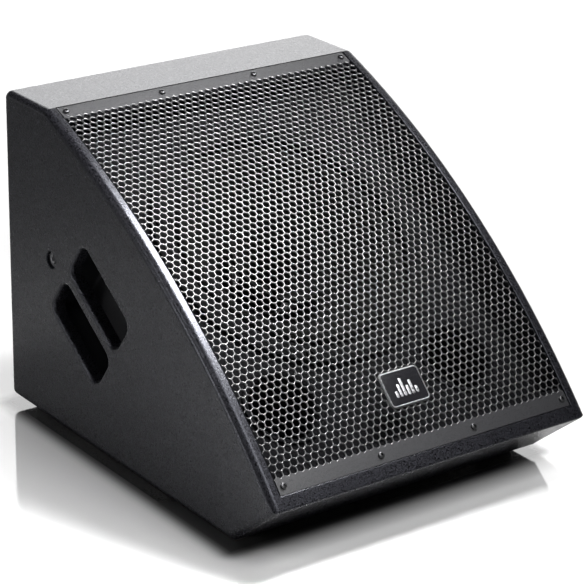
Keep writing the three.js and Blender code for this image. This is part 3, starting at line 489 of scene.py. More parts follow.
GRILLE_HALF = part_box("grille")[1].x
GRILLE_BELOW = 0.0004
GRILLE_DEEP = -0.0015
GRILLE_BOTTOM = LIP_FACE + 0.0004
GRILLE_TOP = ARC_LENGTH - 0.0005
HOLE_PITCH = 0.00705
HALF_PITCH = HOLE_PITCH / 2
WEB = 0.00105
WEB_SOFT = 0.0004
HOLE_ROWS = 63
ROW_STEP = HOLE_PITCH * math.sqrt(3) / 2
HEXAGON_TIP = HOLE_PITCH / math.sqrt(3)
FIRST_ROW = (GRILLE_BOTTOM + GRILLE_TOP) / 2 - ROW_STEP * (HOLE_ROWS - 1) / 2
COLUMNS = math.ceil(GRILLE_HALF / HOLE_PITCH) + 1
STRIP_STEPS = 3


def hexagon(x, s, apothem):
    """Six corners, one of them pointing up the slope."""
    radius = apothem / math.cos(math.pi / 6)
    angles = [math.radians(30 + 60 * k) for k in range(6)]
    return [(x + radius * math.cos(a), s + radius * math.sin(a)) for a in angles]


def row_places(row):
    """The middles of a row's holes, as (x, distance up the front)."""
    s = FIRST_ROW + row * ROW_STEP
    return [((column + 0.5 * (row % 2)) * HOLE_PITCH, s) for column in range(-COLUMNS, COLUMNS + 1)]


def grille_sheet():
    """A honeycomb sheet made flat as (x, distance up the front, height), then bent onto the front's arc."""
    bm = bmesh.new()
    shared = {}

    def corner(x, s, height):
        key = (round(x * 1e6), round(s * 1e6), round(height * 1e6))
        if key not in shared:
            shared[key] = bm.verts.new((x, s, height))
        return shared[key]

    for row in range(HOLE_ROWS):
        for x, s in row_places(row):
            outer = hexagon(x, s, HALF_PITCH)
            hole = hexagon(x, s, HALF_PITCH - WEB / 2)
            face = [bm.verts.new((*point, 0.0)) for point in hexagon(x, s, HALF_PITCH - WEB / 2 + WEB_SOFT)]
            edge = [bm.verts.new((*point, -WEB_SOFT)) for point in hole]
            foot = [bm.verts.new((*point, GRILLE_DEEP)) for point in hole]
            upper = [corner(*point, 0.0) for point in outer]
            lower = [corner(*point, GRILLE_DEEP) for point in outer]
            bands = (upper, face, edge, foot, lower)
            for k in range(6):
                n = (k + 1) % 6
                for one, two in zip(bands, bands[1:]):
                    bm.faces.new((one[k], one[n], two[n], two[k]))

    add_plain_strip(bm, corner, 0, -HEXAGON_TIP, GRILLE_BOTTOM)
    add_plain_strip(bm, corner, HOLE_ROWS - 1, HEXAGON_TIP, GRILLE_TOP)
    trim_sides(bm)
    for vert in bm.verts:
        x, s, height = vert.co
        vert.co = (x, *front_point(s, GRILLE_BELOW - height))
    return from_bmesh("grille_honeycomb", bm, sharp_degrees=60.0)


def add_plain_strip(bm, corner, row, tip, edge_s):
    """Fills from a row's zigzag to a straight edge of the sheet, and closes that edge."""
    for x, s in row_places(row):
        left, point, right = (x - HALF_PITCH, s + tip / 2), (x, s + tip), (x + HALF_PITCH, s + tip / 2)
        for (x0, s0), (x1, s1) in ((left, point), (point, right)):
            for height in (0.0, GRILLE_DEEP):
                for i in range(STRIP_STEPS):
                    t0, t1 = i / STRIP_STEPS, (i + 1) / STRIP_STEPS
                    bm.faces.new((
                        corner(x0, s0 + (edge_s - s0) * t0, height),
                        corner(x1, s1 + (edge_s - s1) * t0, height),
                        corner(x1, s1 + (edge_s - s1) * t1, height),
                        corner(x0, s0 + (edge_s - s0) * t1, height),
                    ))
            ends = ((x0, 0.0), (x1, 0.0), (x1, GRILLE_DEEP), (x0, GRILLE_DEEP))
            bm.faces.new([corner(end_x, edge_s, height) for end_x, height in ends])


def trim_sides(bm):
    """Cuts the sheet to its width and closes the cut webs."""
    for side in (-1, 1):
        geometry = list(bm.verts) + list(bm.edges) + list(bm.faces)
        result = bmesh.ops.bisect_plane(
            bm, geom=geometry, plane_co=(side * GRILLE_HALF, 0, 0), plane_no=(side, 0, 0), clear_outer=True
        )
        cut_edges = [item for item in result["geom_cut"] if isinstance(item, bmesh.types.BMEdge)]
        bmesh.ops.holes_fill(bm, edges=cut_edges, sides=0)


# ---- materials


def material(name, base, roughness, metallic=0.0, specular=0.5):
    """A principled material and its node tree, with the even values on the shader's own sockets."""
    made = bpy.data.materials.new(name)
    made.use_nodes = True
    shader = made.node_tree.nodes["Principled BSDF"]
    shader.inputs["Base Color"].default_value = (*base, 1.0)
    shader.inputs["Roughness"].default_value = roughness
    shader.inputs["Metallic"].default_value = metallic
    shader.inputs["Specular IOR Level"].default_value = specular
    return made, made.node_tree, shader


def node(tree, kind, **values):
    made = tree.nodes.new(kind)
    for key, value in values.items():
        if key in made.inputs:
            made.inputs[key].default_value = value
        else:
            setattr(made, key, value)
    return made


def place_texture(tree):
    return node(tree, "ShaderNodeTexCoord").outputs["Object"]


def noise(tree, scale, detail):
    made = node(tree, "ShaderNodeTexNoise", Scale=scale, Detail=detail, Roughness=0.5)
    tree.links.new(place_texture(tree), made.inputs["Vector"])
    return made.outputs["Fac"]


def remap(tree, value, low, high, from_low=0.3, from_high=0.7, curve="LINEAR"):
    """Carries a value from one range over to another."""
    ends = {"From Min": from_low, "From Max": from_high, "To Min": low, "To Max": high}
    made = node(tree, "ShaderNodeMapRange", interpolation_type=curve, **ends)
    tree.links.new(value, made.inputs["Value"])
    return made.outputs["Result"]


def add_bump(tree, shader, height, distance, strength):
    bump = node(tree, "ShaderNodeBump", Distance=distance, Strength=strength)
    tree.links.new(height, bump.inputs["Height"])
    tree.links.new(bump.outputs["Normal"], shader.inputs["Normal"])


def ramp_colour(tree, shader, value, dark, light, start, end, curve="LINEAR"):
    """Runs the base colour from dark to light as a value goes from start to end."""
    ramp = node(tree, "ShaderNodeValToRGB")
    ramp.color_ramp.interpolation = curve
    for stop, position, colour in zip(ramp.color_ramp.elements, (start, end), (dark, light)):
        stop.position = position
        stop.color = (*colour, 1.0)
    tree.links.new(value, ramp.inputs["Fac"])
    tree.links.new(ramp.outputs["Color"], shader.inputs["Base Color"])


PAINT_TINT = (0.86, 0.88, 1.0, 1.0)
SPECK_DARK = (0.0008, 0.0008, 0.001)
SPECK_LIGHT = (0.0125, 0.0125, 0.015)
SPECK_SPREAD = 0.06
GRIT_SHARE = 0.7


def structure_paint():
    """Black two-part coating with a pebbled grain."""
    made, tree, shader = material("structure_paint", (0.005, 0.005, 0.006), 0.3, specular=0.18)
    shader.inputs["Specular Tint"].default_value = PAINT_TINT
    pebbles, grit, speckle = (noise(tree, scale, 1.0) for scale in (600.0, 1200.0, 850.0))
    height = node(tree, "ShaderNodeMath", operation="MULTIPLY_ADD")
    height.inputs[1].default_value = GRIT_SHARE
    tree.links.new(grit, height.inputs[0])
    tree.links.new(pebbles, height.inputs[2])
    ramp_colour(tree, shader, speckle, SPECK_DARK, SPECK_LIGHT, 0.5 - SPECK_SPREAD, 0.5 + SPECK_SPREAD)
    tree.links.new(remap(tree, pebbles, 0.25, 0.33), shader.inputs["Roughness"])
    add_bump(tree, shader, height.outputs["Value"], 0.00011, 1.0)
    return made


def grained(name, base, roughness, scale, detail, smoother, rougher, depth, strength, **values):
    """A look with a fine grain that varies its roughness about the middle and bumps its surface."""
    made, tree, shader = material(name, base, roughness, **values)
    grain = noise(tree, scale, detail)
    tree.links.new(remap(tree, grain, roughness - smoother, roughness + rougher), shader.inputs["Roughness"])
    add_bump(tree, shader, grain, depth, strength)
    return made


def powder_coat():
    """Satin powder coat on the grille."""
    base = (0.014, 0.014, 0.0155)
    return grained("grille_powder_coat", base, 0.30, 2600.0, 2.0, 0.05, 0.05, 0.00008, 0.6, specular=0.78)


def moulded_plastic(name, base, roughness, scale=1200.0, specular=0.5):
    return grained(name, base, roughness, scale, 2.0, 0.05, 0.06, 0.00006, 0.5, specular=specular)


def plain_metal(name, base, roughness):
    return grained(name, base, roughness, 900.0, 3.0, 0.07, 0.08, 0.00004, 0.4, metallic=1.0)


# ---- small pieces on the front

SCREW_COUNT = 8
SCREW_TURN = 1.3
SCREW_SUNK = 0.0002
HEAD_RADIUS = 0.0029
HEAD_HEIGHT = 0.0019
HEAD_SIDE = 0.35
HEAD_FLAT = 0.55
HEAD_STEPS = 6
RECESS = 0.0011
SHANK_DEPTH = 0.004
BADGE_WIDTH = 0.042
BADGE_HEIGHT = 0.033
BAR_HEIGHTS = (0.35, 0.7, 1.0, 0.55, 0.8, 0.4)
BAR_WIDTH = 0.0026
BAR_PITCH = 0.0042
MARK_HEIGHT = 0.016


def hex_ring(apothem, height, count):
    """A ring of points round a hexagon, at even angles."""
    sixth = math.pi / 3
    return ring(lambda angle: apothem / math.cos((angle + sixth / 2) % sixth - sixth / 2), height, count)


def pan_head(name, radius, height, recess, count=36):
    """A button head with a hexagonal recess and a short shank behind it."""
    loops = [circle(radius * 0.5, -SHANK_DEPTH, count), circle(radius * 0.5, 0.0, count)]
    loops += [circle(radius, 0.0, count), circle(radius, height * HEAD_SIDE, count)]
    for i in range(1, HEAD_STEPS):
        angle = math.pi / 2 * i / HEAD_STEPS
        reach = radius * (HEAD_FLAT + (1 - HEAD_FLAT) * math.cos(angle))
        loops.append(circle(reach, height * (HEAD_SIDE + (1 - HEAD_SIDE) * math.sin(angle)), count))
    loops += [hex_ring(recess, height, count), hex_ring(recess * 0.96, height * HEAD_SIDE, count)]
    return ring_stack(name, loops, sharp_degrees=40.0)


def grille_screw(index, look):
    name = f"grille_screw_{index}"
    head = pan_head(f"{name}_head", HEAD_RADIUS, HEAD_HEIGHT, RECESS)
    turn = Matrix.Rotation(index * SCREW_TURN, 4, "Z")
    finish_piece(head, look, "black_screw", name, place=front_matrix(name, GRILLE_BELOW - SCREW_SUNK) @ turn)


def badge_rim(width, height, corner, low, high, wall):
    """The bright frame that stands round the badge's face."""
    shoulder = high - wall * 0.4
    loops = []
    for inset, level in ((0, low), (0, shoulder), (wall / 2, high), (wall, shoulder), (wall, low)):
        outline = rounded_rectangle(width - 2 * inset, height - 2 * inset, corner - inset)
        loops.append(at_height(outline, level))
    return ring_stack("badge_rim", loops, closed=True, sharp_degrees=50.0)


def badge_mark():
    """A row of level-meter bars in place of any lettering."""
    bars = []
    for i, share in enumerate(BAR_HEIGHTS):
        height = MARK_HEIGHT * share
        bar = soft_plate(f"bar_{i}", BAR_WIDTH, height, 0.0009, 0.002, 0.0024, 0.0001)
        across = (i - (len(BAR_HEIGHTS) - 1) / 2) * BAR_PITCH
        bars.append(shift(bar, across, (height - MARK_HEIGHT) / 2))
    return merge_objects("badge_mark", bars)


def badge_pieces(looks):
    """A plain nameplate: backing, glossy face, bright rim and mark."""
    place = front_matrix("badge", GRILLE_BELOW)
    backing = soft_plate("badge_backing", BADGE_WIDTH, BADGE_HEIGHT, 0.0045, GAP, 0.0016, 0.0005)
    less = 0.0036
    face = soft_plate("badge_face", BADGE_WIDTH - less, BADGE_HEIGHT - less, 0.0028, 0.001, 0.0021, 0.0003)
    less = 0.0022
    rim = badge_rim(BADGE_WIDTH - less, BADGE_HEIGHT - less, 0.0035, 0.001, 0.0026, 0.0007)
    finish_piece(backing, looks["matte"], "badge_plate", "badge", place=place)
    for piece, look in ((face, "gloss"), (rim, "bright"), (badge_mark(), "bright")):
        finish_piece(piece, looks[look], "badge_plate", place=place)


# ---- handles, inserts and feet

POCKET_WALL = 0.0025
POCKET_DEPTH = pocket_high.x + HALF_WIDTH - POCKET_WALL
POCKET_CORNER = 0.006
POCKET_FLANGE = 0.005
POCKET_FILLET = 0.003
POCKET_LENGTH = SLOT_LENGTH + 0.014
POCKET_WIDTH = 2 * SLOT_WIDTH + GRIP_WIDTH + 0.006
BUSH_RADIUS = 0.0073
BUSH_CHAMFER = 0.0005
BUSH_FLANGE = 0.0105
BUSH_FLANGE_THICKNESS = 0.0022
THREAD_ROOT = 0.0050
THREAD_CREST = 0.00425
THREAD_TURNS = 7
FOOT_BORE = 0.0026
FOOT_WELL = 0.006
FOOT_FLOOR = 0.005


def handle_pocket(word, side, look):
    """The moulded cup behind the slots, with rounded inner corners."""
    face = PANEL + GAP
    rim = POCKET_WALL + POCKET_FLANGE
    sections = [(POCKET_DEPTH - depth, -inset) for inset, depth in quarter_round(POCKET_FILLET, 6)]
    sections += [(face, 0.0), (face, rim), (face + POCKET_WALL, rim), (face + POCKET_WALL, POCKET_WALL)]
    sections.append((POCKET_DEPTH + POCKET_WALL, POCKET_WALL))
    loops = []
    for depth, grow in sections:
        length, width = POCKET_LENGTH + 2 * grow, POCKET_WIDTH + 2 * grow
        loops.append(handle_loop(side, depth, length, width, POCKET_CORNER + grow))
    pocket = ring_stack(f"{word}_pocket", loops)
    weigh_normals(pocket)
    finish_piece(pocket, look, "black_plastic", f"{word}_handle_pocket")


def bracket_insert(word, side, look):
    """A steel bush with a threaded bore."""
    name = f"{word}_bracket_insert"
    low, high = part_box(name)
    length = high.x - low.x
    flange = length - BUSH_FLANGE_THICKNESS
    profile = [(THREAD_ROOT, 0.0), (BUSH_RADIUS - BUSH_CHAMFER, 0.0), (BUSH_RADIUS, BUSH_CHAMFER)]
    profile += [(BUSH_RADIUS, flange), (BUSH_FLANGE, flange), (BUSH_FLANGE, length), (THREAD_CREST, length)]
    for i in range(THREAD_TURNS, 0, -1):
        depth = (length - 0.001) * i / THREAD_TURNS
        profile += [(THREAD_ROOT, depth - 0.0003), (THREAD_CREST, depth - 0.0010)]
    bush = turned(f"{word}_insert_bush", profile, 36, closed=True)
    outer_x = low.x if side < 0 else high.x
    place = Matrix.Translation((outer_x, INSERT_Y, INSERT_Z)) @ Matrix.Rotation(-side * math.pi / 2, 4, "Y")
    finish_piece(bush, look, "plated_steel", name, place=place)


def rubber_foot(index, look):
    """A tapered foot with a hollow underside and a hole for its screw."""
    name = f"foot_{index}"
    low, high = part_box(name)
    radius = (high.y - low.y) / 2
    height = high.z - low.z
    profile = [(FOOT_BORE, height), (radius, height), (radius - 0.0004, height * 0.6)]
    profile += [(radius - 0.0016, height * 0.14), (radius - 0.0024, 0.0004), (radius - 0.0034, 0.0)]
    profile += [(FOOT_WELL + 0.0012, 0.0), (FOOT_WELL + 0.0002, 0.0006), (FOOT_WELL, FOOT_FLOOR)]
    profile.append((FOOT_BORE, FOOT_FLOOR))
    foot = turned(f"{name}_rubber", profile, 40, closed=True)
    middle = node_middle(name)
    finish_piece(foot, look, "foot_rubber", name, place=Matrix.Translation((middle.x, middle.y, low.z)))


# ---- the driver behind the grille

BAFFLE_SETBACK = 0.0185
DRIVER_UP = 0.036
PORT_UP = -0.114
DRIVER_SCREWS = 8
DRIVER_SCREW_CIRCLE = 0.1222
FLANGE_FRONT = 0.0068
MOVING_RINGS = ("woofer_cone", "voice_coil")


def baffle_matrix(across, up):
    """The baffle's own frame: x across, y up the slope and z out through the grille."""
    place = Matrix.Translation((0, *under_chord(BAFFLE_SETBACK)))
    return place @ Matrix.Rotation(SLOPE, 4, "X") @ Matrix.Translation((across, up, 0))


driver_place = baffle_matrix(0, DRIVER_UP)

# The driver's outlines are (radius, height) in millimetres, with the height above the baffle's face.


def flare(start, end, steps, curve):
    """A curve from one (radius, height) to another that opens faster towards its end."""
    points = []
    for i in range(steps + 1):
        t = i / steps
        points.append((start[0] + (end[0] - start[0]) * t ** curve, start[1] + (end[1] - start[1]) * t))
    return points


def thick_sheet(points, thickness):
    """A closed outline from an open one, thickened downwards."""
    return points + [(radius, height - thickness) for radius, height in reversed(points)]


def surround_outline():
    """The roll and its ledge, with a sleeve behind it that the cone's rim slides in."""
    roll = arc_points((98.0, -4.1), 7.0, 180, 0, 14)
    sheet = thick_sheet([(88.6, -4.4)] + roll + [(111.4, -3.9)], 0.7)
    return sheet[:-1] + [(89.3, -5.1), (89.3, -11.2), (88.6, -11.2)]


def spider_outline():
    waves = [(34.0 + i, -69.4 + 1.4 * math.sin(i * math.pi / 7)) for i in range(35)]
    return thick_sheet(waves, 0.5)


def horn_outline():
    inside = flare((15.0, -78.9), (46.0, -19.6), 16, 1.7)
    rim = [(46.7, -19.1), (47.6, -19.2), (48.0, -20.0), (48.0, -22.0)]
    return inside + rim + [(38.0, -29.5), (27.0, -44.0), (22.0, -60.0), (22.0, -78.9)]


def port_outline():
    """A tube with a flared mouth and a thin lip over the baffle."""
    mouth = arc_points((36.5, -3.4), 6.0, 180, 90, 8)
    return [(30.5, -60.0)] + mouth + [(36.9, 2.2), (37.0, 1.2), (37.0, 0.3), (33.0, 0.3), (33.0, -60.0)]


def basket_outline():
    back = [(36, -79), (72, -79), (72, -60), (104.5, -20), (107, -8), (115.5, -8), (115.5, 1.8)]
    flange = [(129, 1.8), (129, 5.6), (128.6, 6.4), (127.8, 6.8), (114, 6.8), (112.6, 6.3), (112, 5)]
    return back + flange + [(112, -5), (104, -5), (101, -20), (69, -59), (69, -76), (36, -76)]


# name: outline, look and slot
DRIVER_RINGS = {
    "woofer_cone": (thick_sheet(flare((33.8, -61.0), (88.2, -5.4), 14, 0.86), 1.6), "cone", "cone_paper"),
    "woofer_surround": (surround_outline(), "cloth", "treated_cloth"),
    "woofer_spider": (spider_outline(), "cloth", "treated_cloth"),
    "horn": (horn_outline(), "cone", "black_plastic"),
    "woofer_gasket": ([(118, 0.3), (129, 0.3), (129, 1.5), (118, 1.5)], "cloth", "foot_rubber"),
    "woofer_top_plate": (
        [(34.5, -85.3), (65.6, -85.3), (66, -84.9), (66, -79.7), (65.6, -79.3), (34.5, -79.3)],
        "ferrite",
        "plated_steel",
    ),
    "woofer_magnet": (
        [(38, -103.6), (65, -103.6), (66, -102.6), (66, -86.6), (65, -85.6), (38, -85.6)],
        "ferrite",
        "magnet_ferrite",
    ),
    "woofer_pole_piece": (
        [(15, -111.9), (65, -111.9), (66, -110.9), (66, -104.9), (65, -103.9)]
        + [(30.4, -103.9), (30.4, -80.1), (29.6, -79.3), (15, -79.3)],
        "ferrite",
        "plated_steel",
    ),
    "voice_coil": ([(31.3, -98), (33.4, -98), (33.4, -61.5), (31.3, -61.5)], "coil", "coil_copper"),
}


def window_cutter(turn):
    """A long block through two opposite windows of the basket, with rounded ends."""
    outline = rounded_rectangle(0.048, 0.028, 0.006)
    loops = [[(x, a, b - 0.039) for a, b in outline] for x in (-0.12, 0.12)]
    return move(ring_stack("window", loops), Matrix.Rotation(turn, 4, "Z"))


def driver_basket(look):
    basket = turned_mm("woofer_basket_fine", basket_outline(), 96)
    subtract(basket, [window_cutter((turn + 0.5) * math.pi / 3) for turn in range(3)])
    shade(basket.data)
    finish_piece(basket, look, "driver_casting", "woofer_basket", place=driver_place)


def driver_screws(look):
    """Eight screws round the basket's flange, as one piece."""
    heads = []
    for i in range(DRIVER_SCREWS):
        head = pan_head(f"driver_screw_{i}", 0.0042, 0.0024, 0.0016, count=24)
        angle = (i + 0.5) * 2 * math.pi / DRIVER_SCREWS
        across, up = DRIVER_SCREW_CIRCLE * math.cos(angle), DRIVER_SCREW_CIRCLE * math.sin(angle)
        heads.append(shift(head, across, up, FLANGE_FRONT))
    finish_piece(merge_objects("driver_screws", heads), look, "black_screw", place=driver_place)


def compression_driver(look):
    edge = arc_points((36, -139.2), 7, -90, 0, 6)
    outline = [(0, -146.2), (30, -146.2)] + edge + [(43, -112.4), (0, -112.4)]
    motor = turned_mm("compression_driver_fine", outline, 72, closed=False)
    finish_piece(motor, look, "driver_casting", "compression_driver", place=driver_place)


def driver_pieces(looks):
    """The driver's parts, and the two ports beside it, as turned shapes of finer steps."""
    driver_basket(looks["casting"])
    driver_screws(looks["casting"])
    compression_driver(looks["casting"])
    for name, (outline, look, slot) in DRIVER_RINGS.items():
        body = "cone_assembly" if name in MOVING_RINGS else "cabinet"
        fine = turned_mm(f"{name}_fine", outline, 96)
        finish_piece(fine, looks[look], slot, name, body=body, place=driver_place)
    for name in ("left_port_tube", "right_port_tube"):
        low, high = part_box(name)
        place = baffle_matrix((low.x + high.x) / 2, PORT_UP)
        tube = turned_mm(f"{name}_fine", port_outline(), 72)
        finish_piece(tube, looks["wood"], "black_plastic", name, place=place)


# ---- rear panel

TRAY_BEND = 0.0024
TRAY_CORNER = 0.0036
TRAY_EDGE = 0.0006
TRAY_FLOOR = tray_low.y + TRAY_SHEET
REAR_LIFT = 0.0003
socket_low, socket_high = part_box("input_socket")
SOCKET_Z = (socket_low.z + socket_high.z) / 2
SOCKET_MOUTH = 0.009
SOCKET_BODY = 0.0115
SOCKET_BEAD = 0.0008
SOCKET_FLOOR = -0.0126
FLANGE_TOP = 0.0023
BODY_DEPTH = 0.020
CUT_FLOOR = -0.0127
CUT_REACH = (-0.01, 0.01)
CONTACT_PLACES = ((-0.0043, 0.0022), (0.0043, 0.0022), (0.0, -0.0046))
MAINS_PIN_PLACES = ((-0.007, -0.002), (0.0, 0.002), (0.007, -0.002))
KNOBS = ("level", "bass", "treble")
ROUND_HOLES = (
    ("level_knob", 0.0036),
    ("bass_knob", 0.0036),
    ("treble_knob", 0.0036),
    ("preset_button", 0.0044),
    ("status_led", 0.0029),
)
SQUARE_HOLES = (("mains_inlet", 0.028, 0.0205), ("power_switch_housing", 0.020, 0.029))
SWITCH_WELL = (0.0150, 0.0230, 0.001)
ROCKER_REACH = 0.0106
ROCKER_HALF = 0.0066
ROCKER_FACE = 0.0026
ROCKER_BACK = -0.006
ROCKER_SOFT = 0.0006
ROCKER_PIVOT = 0.001
ROCKER_TILT = math.radians(9)
KNOB_STEPS = 144
KNOB_FLUTES = 18
KNOB_SHAFT_BACK = -0.014
KNOB_TOP = 0.014
SCALE_MARKS = 11
SCALE_SWEEP = 300
SCALE_RADIUS = 0.0093
BUTTON_TOP = 0.0046
FIN_COUNT = 11
FIN_PITCH = 0.0084
FIN_THICKNESS = 0.0026
FIN_ROOT = 0.004
FIN_FILLET = 0.0008

# radius, height and flute depth up a knob
KNOB_RINGS = (
    (TURNED_CENTRE, KNOB_SHAFT_BACK, 0.0),
    (0.003, KNOB_SHAFT_BACK, 0.0),
    (0.003, 0.001, 0.0),
    (0.0078, 0.001, 0.0),
    (0.008, 0.0014, 0.0),
    (0.0078, 0.0030, 0.0),
    (0.0071, 0.0036, 0.0),
    (0.0069, 0.0038, 0.0005),
    (0.0064, 0.0126, 0.0005),
    (0.0060, 0.0136, 0.0003),
    (0.0054, KNOB_TOP, 0.0),
    (0.0046, KNOB_TOP, 0.0),
    (0.0042, KNOB_TOP - 0.0003, 0.0),
    (TURNED_CENTRE, KNOB_TOP - 0.0003, 0.0),
)


def rear_matrix(x, z, y=TRAY_FLOOR):
    """A frame on the tray's floor that faces backwards, with its y axis up."""
    turn = Matrix(((-1, 0, 0, 0), (0, 0, 1, 0), (0, 1, 0, 0), (0, 0, 0, 1)))
    return Matrix.Translation((x, y, z)) @ turn


def rear_place(name):
    """The frame on the tray's floor over a node's middle."""
    middle = node_middle(name)
    return rear_matrix(middle.x, SOCKET_Z if name.endswith("socket") else middle.z)


def hole_tool(radius, low=CUT_REACH[0], high=CUT_REACH[1], count=40):
    return turned("hole_tool", [(0, low), (radius, low), (radius, high), (0, high)], count)


def rear_tray(look):
    """A pressed tray: a flat rim, a round bend, four walls and a floor."""
    face = tray_high.y
    back = face - TRAY_SHEET
    bend = quarter_round(TRAY_BEND, 5)
    sections = [(TRAY_FLOOR + depth, -TRAY_SHEET - inset) for inset, depth in bend]
    sections += [(face - inset, -TRAY_SHEET + depth) for inset, depth in bend]
    sections += [(face, TRAY_RIM - TRAY_EDGE), (face - TRAY_EDGE, TRAY_RIM), (back, TRAY_RIM)]
    sections += [(back, 0.0), (TRAY_FLOOR - TRAY_SHEET, 0.0)]
    tray = ring_stack("rear_tray", [tray_loop(y, grow, TRAY_CORNER) for y, grow in sections])
    cutters = [move(hole_tool(radius), rear_place(name)) for name, radius in ROUND_HOLES]
    for name, wide, high in SQUARE_HOLES:
        block = prism("block", rounded_rectangle(wide, high, 0.001), CUT_REACH)
        cutters.append(move(block, rear_place(name)))
    for name in ("input_socket", "link_socket"):
        cutters.append(move(hole_tool(0.012), rear_place(name)))
    subtract(tray, cutters)
    weigh_normals(tray)
    finish_piece(tray, look, "tray_steel", "amp_tray")


def socket_shell(name, holes):
    """A chassis connector: flange, barrel with a raised bead and a round cavity."""
    flange = soft_plate(f"{name}_flange", 0.026, 0.031, 0.003, REAR_LIFT, FLANGE_TOP, 0.0005)
    subtract(flange, [hole_tool(SOCKET_MOUTH + 0.0004)])
    side = SOCKET_BODY - 0.0005
    crown = FLANGE_TOP + SOCKET_BEAD
    profile = [(0, -BODY_DEPTH), (side, -BODY_DEPTH), (side, FLANGE_TOP), (side - 0.0004, crown)]
    profile += [(SOCKET_MOUTH + 0.0006, crown), (SOCKET_MOUTH, FLANGE_TOP + 0.0002)]
    profile += [(SOCKET_MOUTH, CUT_FLOOR), (0, CUT_FLOOR)]
    pieces = [flange, turned(f"{name}_barrel", profile, 48)]
    if holes:
        radius, face = 0.0072, -0.003
        outline = [(0, SOCKET_FLOOR), (radius, SOCKET_FLOOR), (radius, face), (0, face)]
        block = turned(f"{name}_block", outline, 40)
        subtract(block, [shift(hole_tool(0.0013, -0.011, 0.004, 20), x, y) for x, y in CONTACT_PLACES])
        pieces.append(block)
    return merge_objects(f"{name}_shell", pieces)


def contact_pin(radius, low, high):
    profile = [(0, low), (radius, low), (radius, high - radius)]
    return turned("pin", profile + [(radius * 0.7, high - radius * 0.3), (0, high)], 16)


def rear_sockets(looks):
    for name, holes in (("input_socket", True), ("link_socket", False)):
        shell = socket_shell(name, holes)
        shade(shell.data)
        finish_piece(shell, looks["matte"], "black_plastic", name, place=rear_place(name))
    pins = [shift(contact_pin(0.0012, SOCKET_FLOOR, -0.0012), x, y) for x, y in CONTACT_PLACES]
    pins = merge_objects("link_socket_pins", pins)
    finish_piece(pins, looks["steel"], "plated_steel", place=rear_place("link_socket"))


def release_tab(look):
    low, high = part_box("input_latch")
    span = (low.y - TRAY_FLOOR, high.y - TRAY_FLOOR)
    tab = soft_plate("input_latch_tab", high.x - low.x, high.z - low.z, 0.0012, *span, 0.0006)
    finish_piece(tab, look, "plated_steel", "input_latch", body="latch_body", place=rear_place("input_latch"))


def inlet_outline(grow):
    """The inlet's six-sided mouth: a rectangle with its two upper corners cut off."""
    x, z, cut = 0.012 + grow, 0.00825 + grow, 0.0042
    return [(-x, -z), (x, -z), (x, z - cut), (x - cut, z), (-x + cut, z), (-x, z - cut)]


def mains_inlet(looks):
    place = rear_place("mains_inlet")
    flange = soft_plate("mains_flange", 0.048, 0.023, 0.0045, REAR_LIFT, FLANGE_TOP, 0.0005)
    body = soft_plate("mains_body", 0.027, 0.0195, 0.0015, -BODY_DEPTH, FLANGE_TOP + 0.0008, 0.0006)
    flared = 0.0005
    sections = ((CUT_FLOOR, 0), (FLANGE_TOP, 0), (FLANGE_TOP + 0.001, flared), (0.008, flared))
    mouth = [at_height(inlet_outline(grow), depth) for depth, grow in sections]
    for piece in (flange, body):
        subtract(piece, [ring_stack("mouth", mouth)])
    shell = merge_objects("mains_inlet_shell", [flange, body])
    shade(shell.data)
    finish_piece(shell, looks["matte"], "black_plastic", "mains_inlet", place=place)
    pins = []
    for x, y in MAINS_PIN_PLACES:
        pins.append(shift(soft_plate("mains_pin", 0.002, 0.004, 0.0004, SOCKET_FLOOR, -0.001, 0.0006), x, y))
    finish_piece(merge_objects("mains_inlet_pins", pins), looks["steel"], "plated_steel", place=place)


def switch_frame(name, width, height, corner, low, high, soft):
    """A plate with the rocker's well cut through it."""
    plate = soft_plate(name, width, height, corner, low, high, soft)
    subtract(plate, [prism("well", rounded_rectangle(*SWITCH_WELL), (CUT_FLOOR, CUT_REACH[1]))])
    return plate


def power_switch(looks):
    bezel = switch_frame("switch_bezel", 0.0226, 0.0316, 0.0025, REAR_LIFT, FLANGE_TOP, 0.0006)
    body = switch_frame("switch_body", 0.019, 0.028, 0.001, -BODY_DEPTH, 0.0015, 0.0003)
    housing = merge_objects("power_switch_frame", [bezel, body])
    shade(housing.data)
    name = "power_switch_housing"
    finish_piece(housing, looks["matte"], "black_plastic", name, place=rear_place(name))
    finish_piece(rocker_cap(), looks["rocker"], "black_plastic", "power_switch_rocker", body="rocker_body")


def rocker_cap():
    """A dished rocker with softened sides, tilted with its upper half in."""
    outline = []
    for i in range(13):
        t = -1 + 2 * i / 12
        outline.append((t * ROCKER_REACH, ROCKER_FACE * (0.5 + 0.5 * abs(t) ** 1.6)))
    outline += [(ROCKER_REACH * 0.6, ROCKER_BACK), (-ROCKER_REACH * 0.6, ROCKER_BACK)]
    loops = []
    for side, soft in ((-1, ROCKER_SOFT), (-1, 0), (1, 0), (1, ROCKER_SOFT)):
        x = side * (ROCKER_HALF - ROCKER_SOFT + soft)
        loops.append([(x, b * (1 - soft / ROCKER_REACH), c - (soft if c > 0 else 0)) for b, c in outline])
    cap = ring_stack("power_rocker_cap", loops, sharp_degrees=30.0)
    middle = node_middle("power_switch_housing")
    tilt = Matrix.Rotation(-ROCKER_TILT, 4, "X")
    return move(cap, rear_matrix(middle.x, middle.z, TRAY_FLOOR + ROCKER_PIVOT) @ tilt)


def fluted_ring(radius, height, depth):
    """A circle with shallow flutes; a depth of nothing leaves it round."""
    return ring(lambda a: radius - depth * (0.5 + 0.5 * math.cos(KNOB_FLUTES * a)) ** 2, height, KNOB_STEPS)


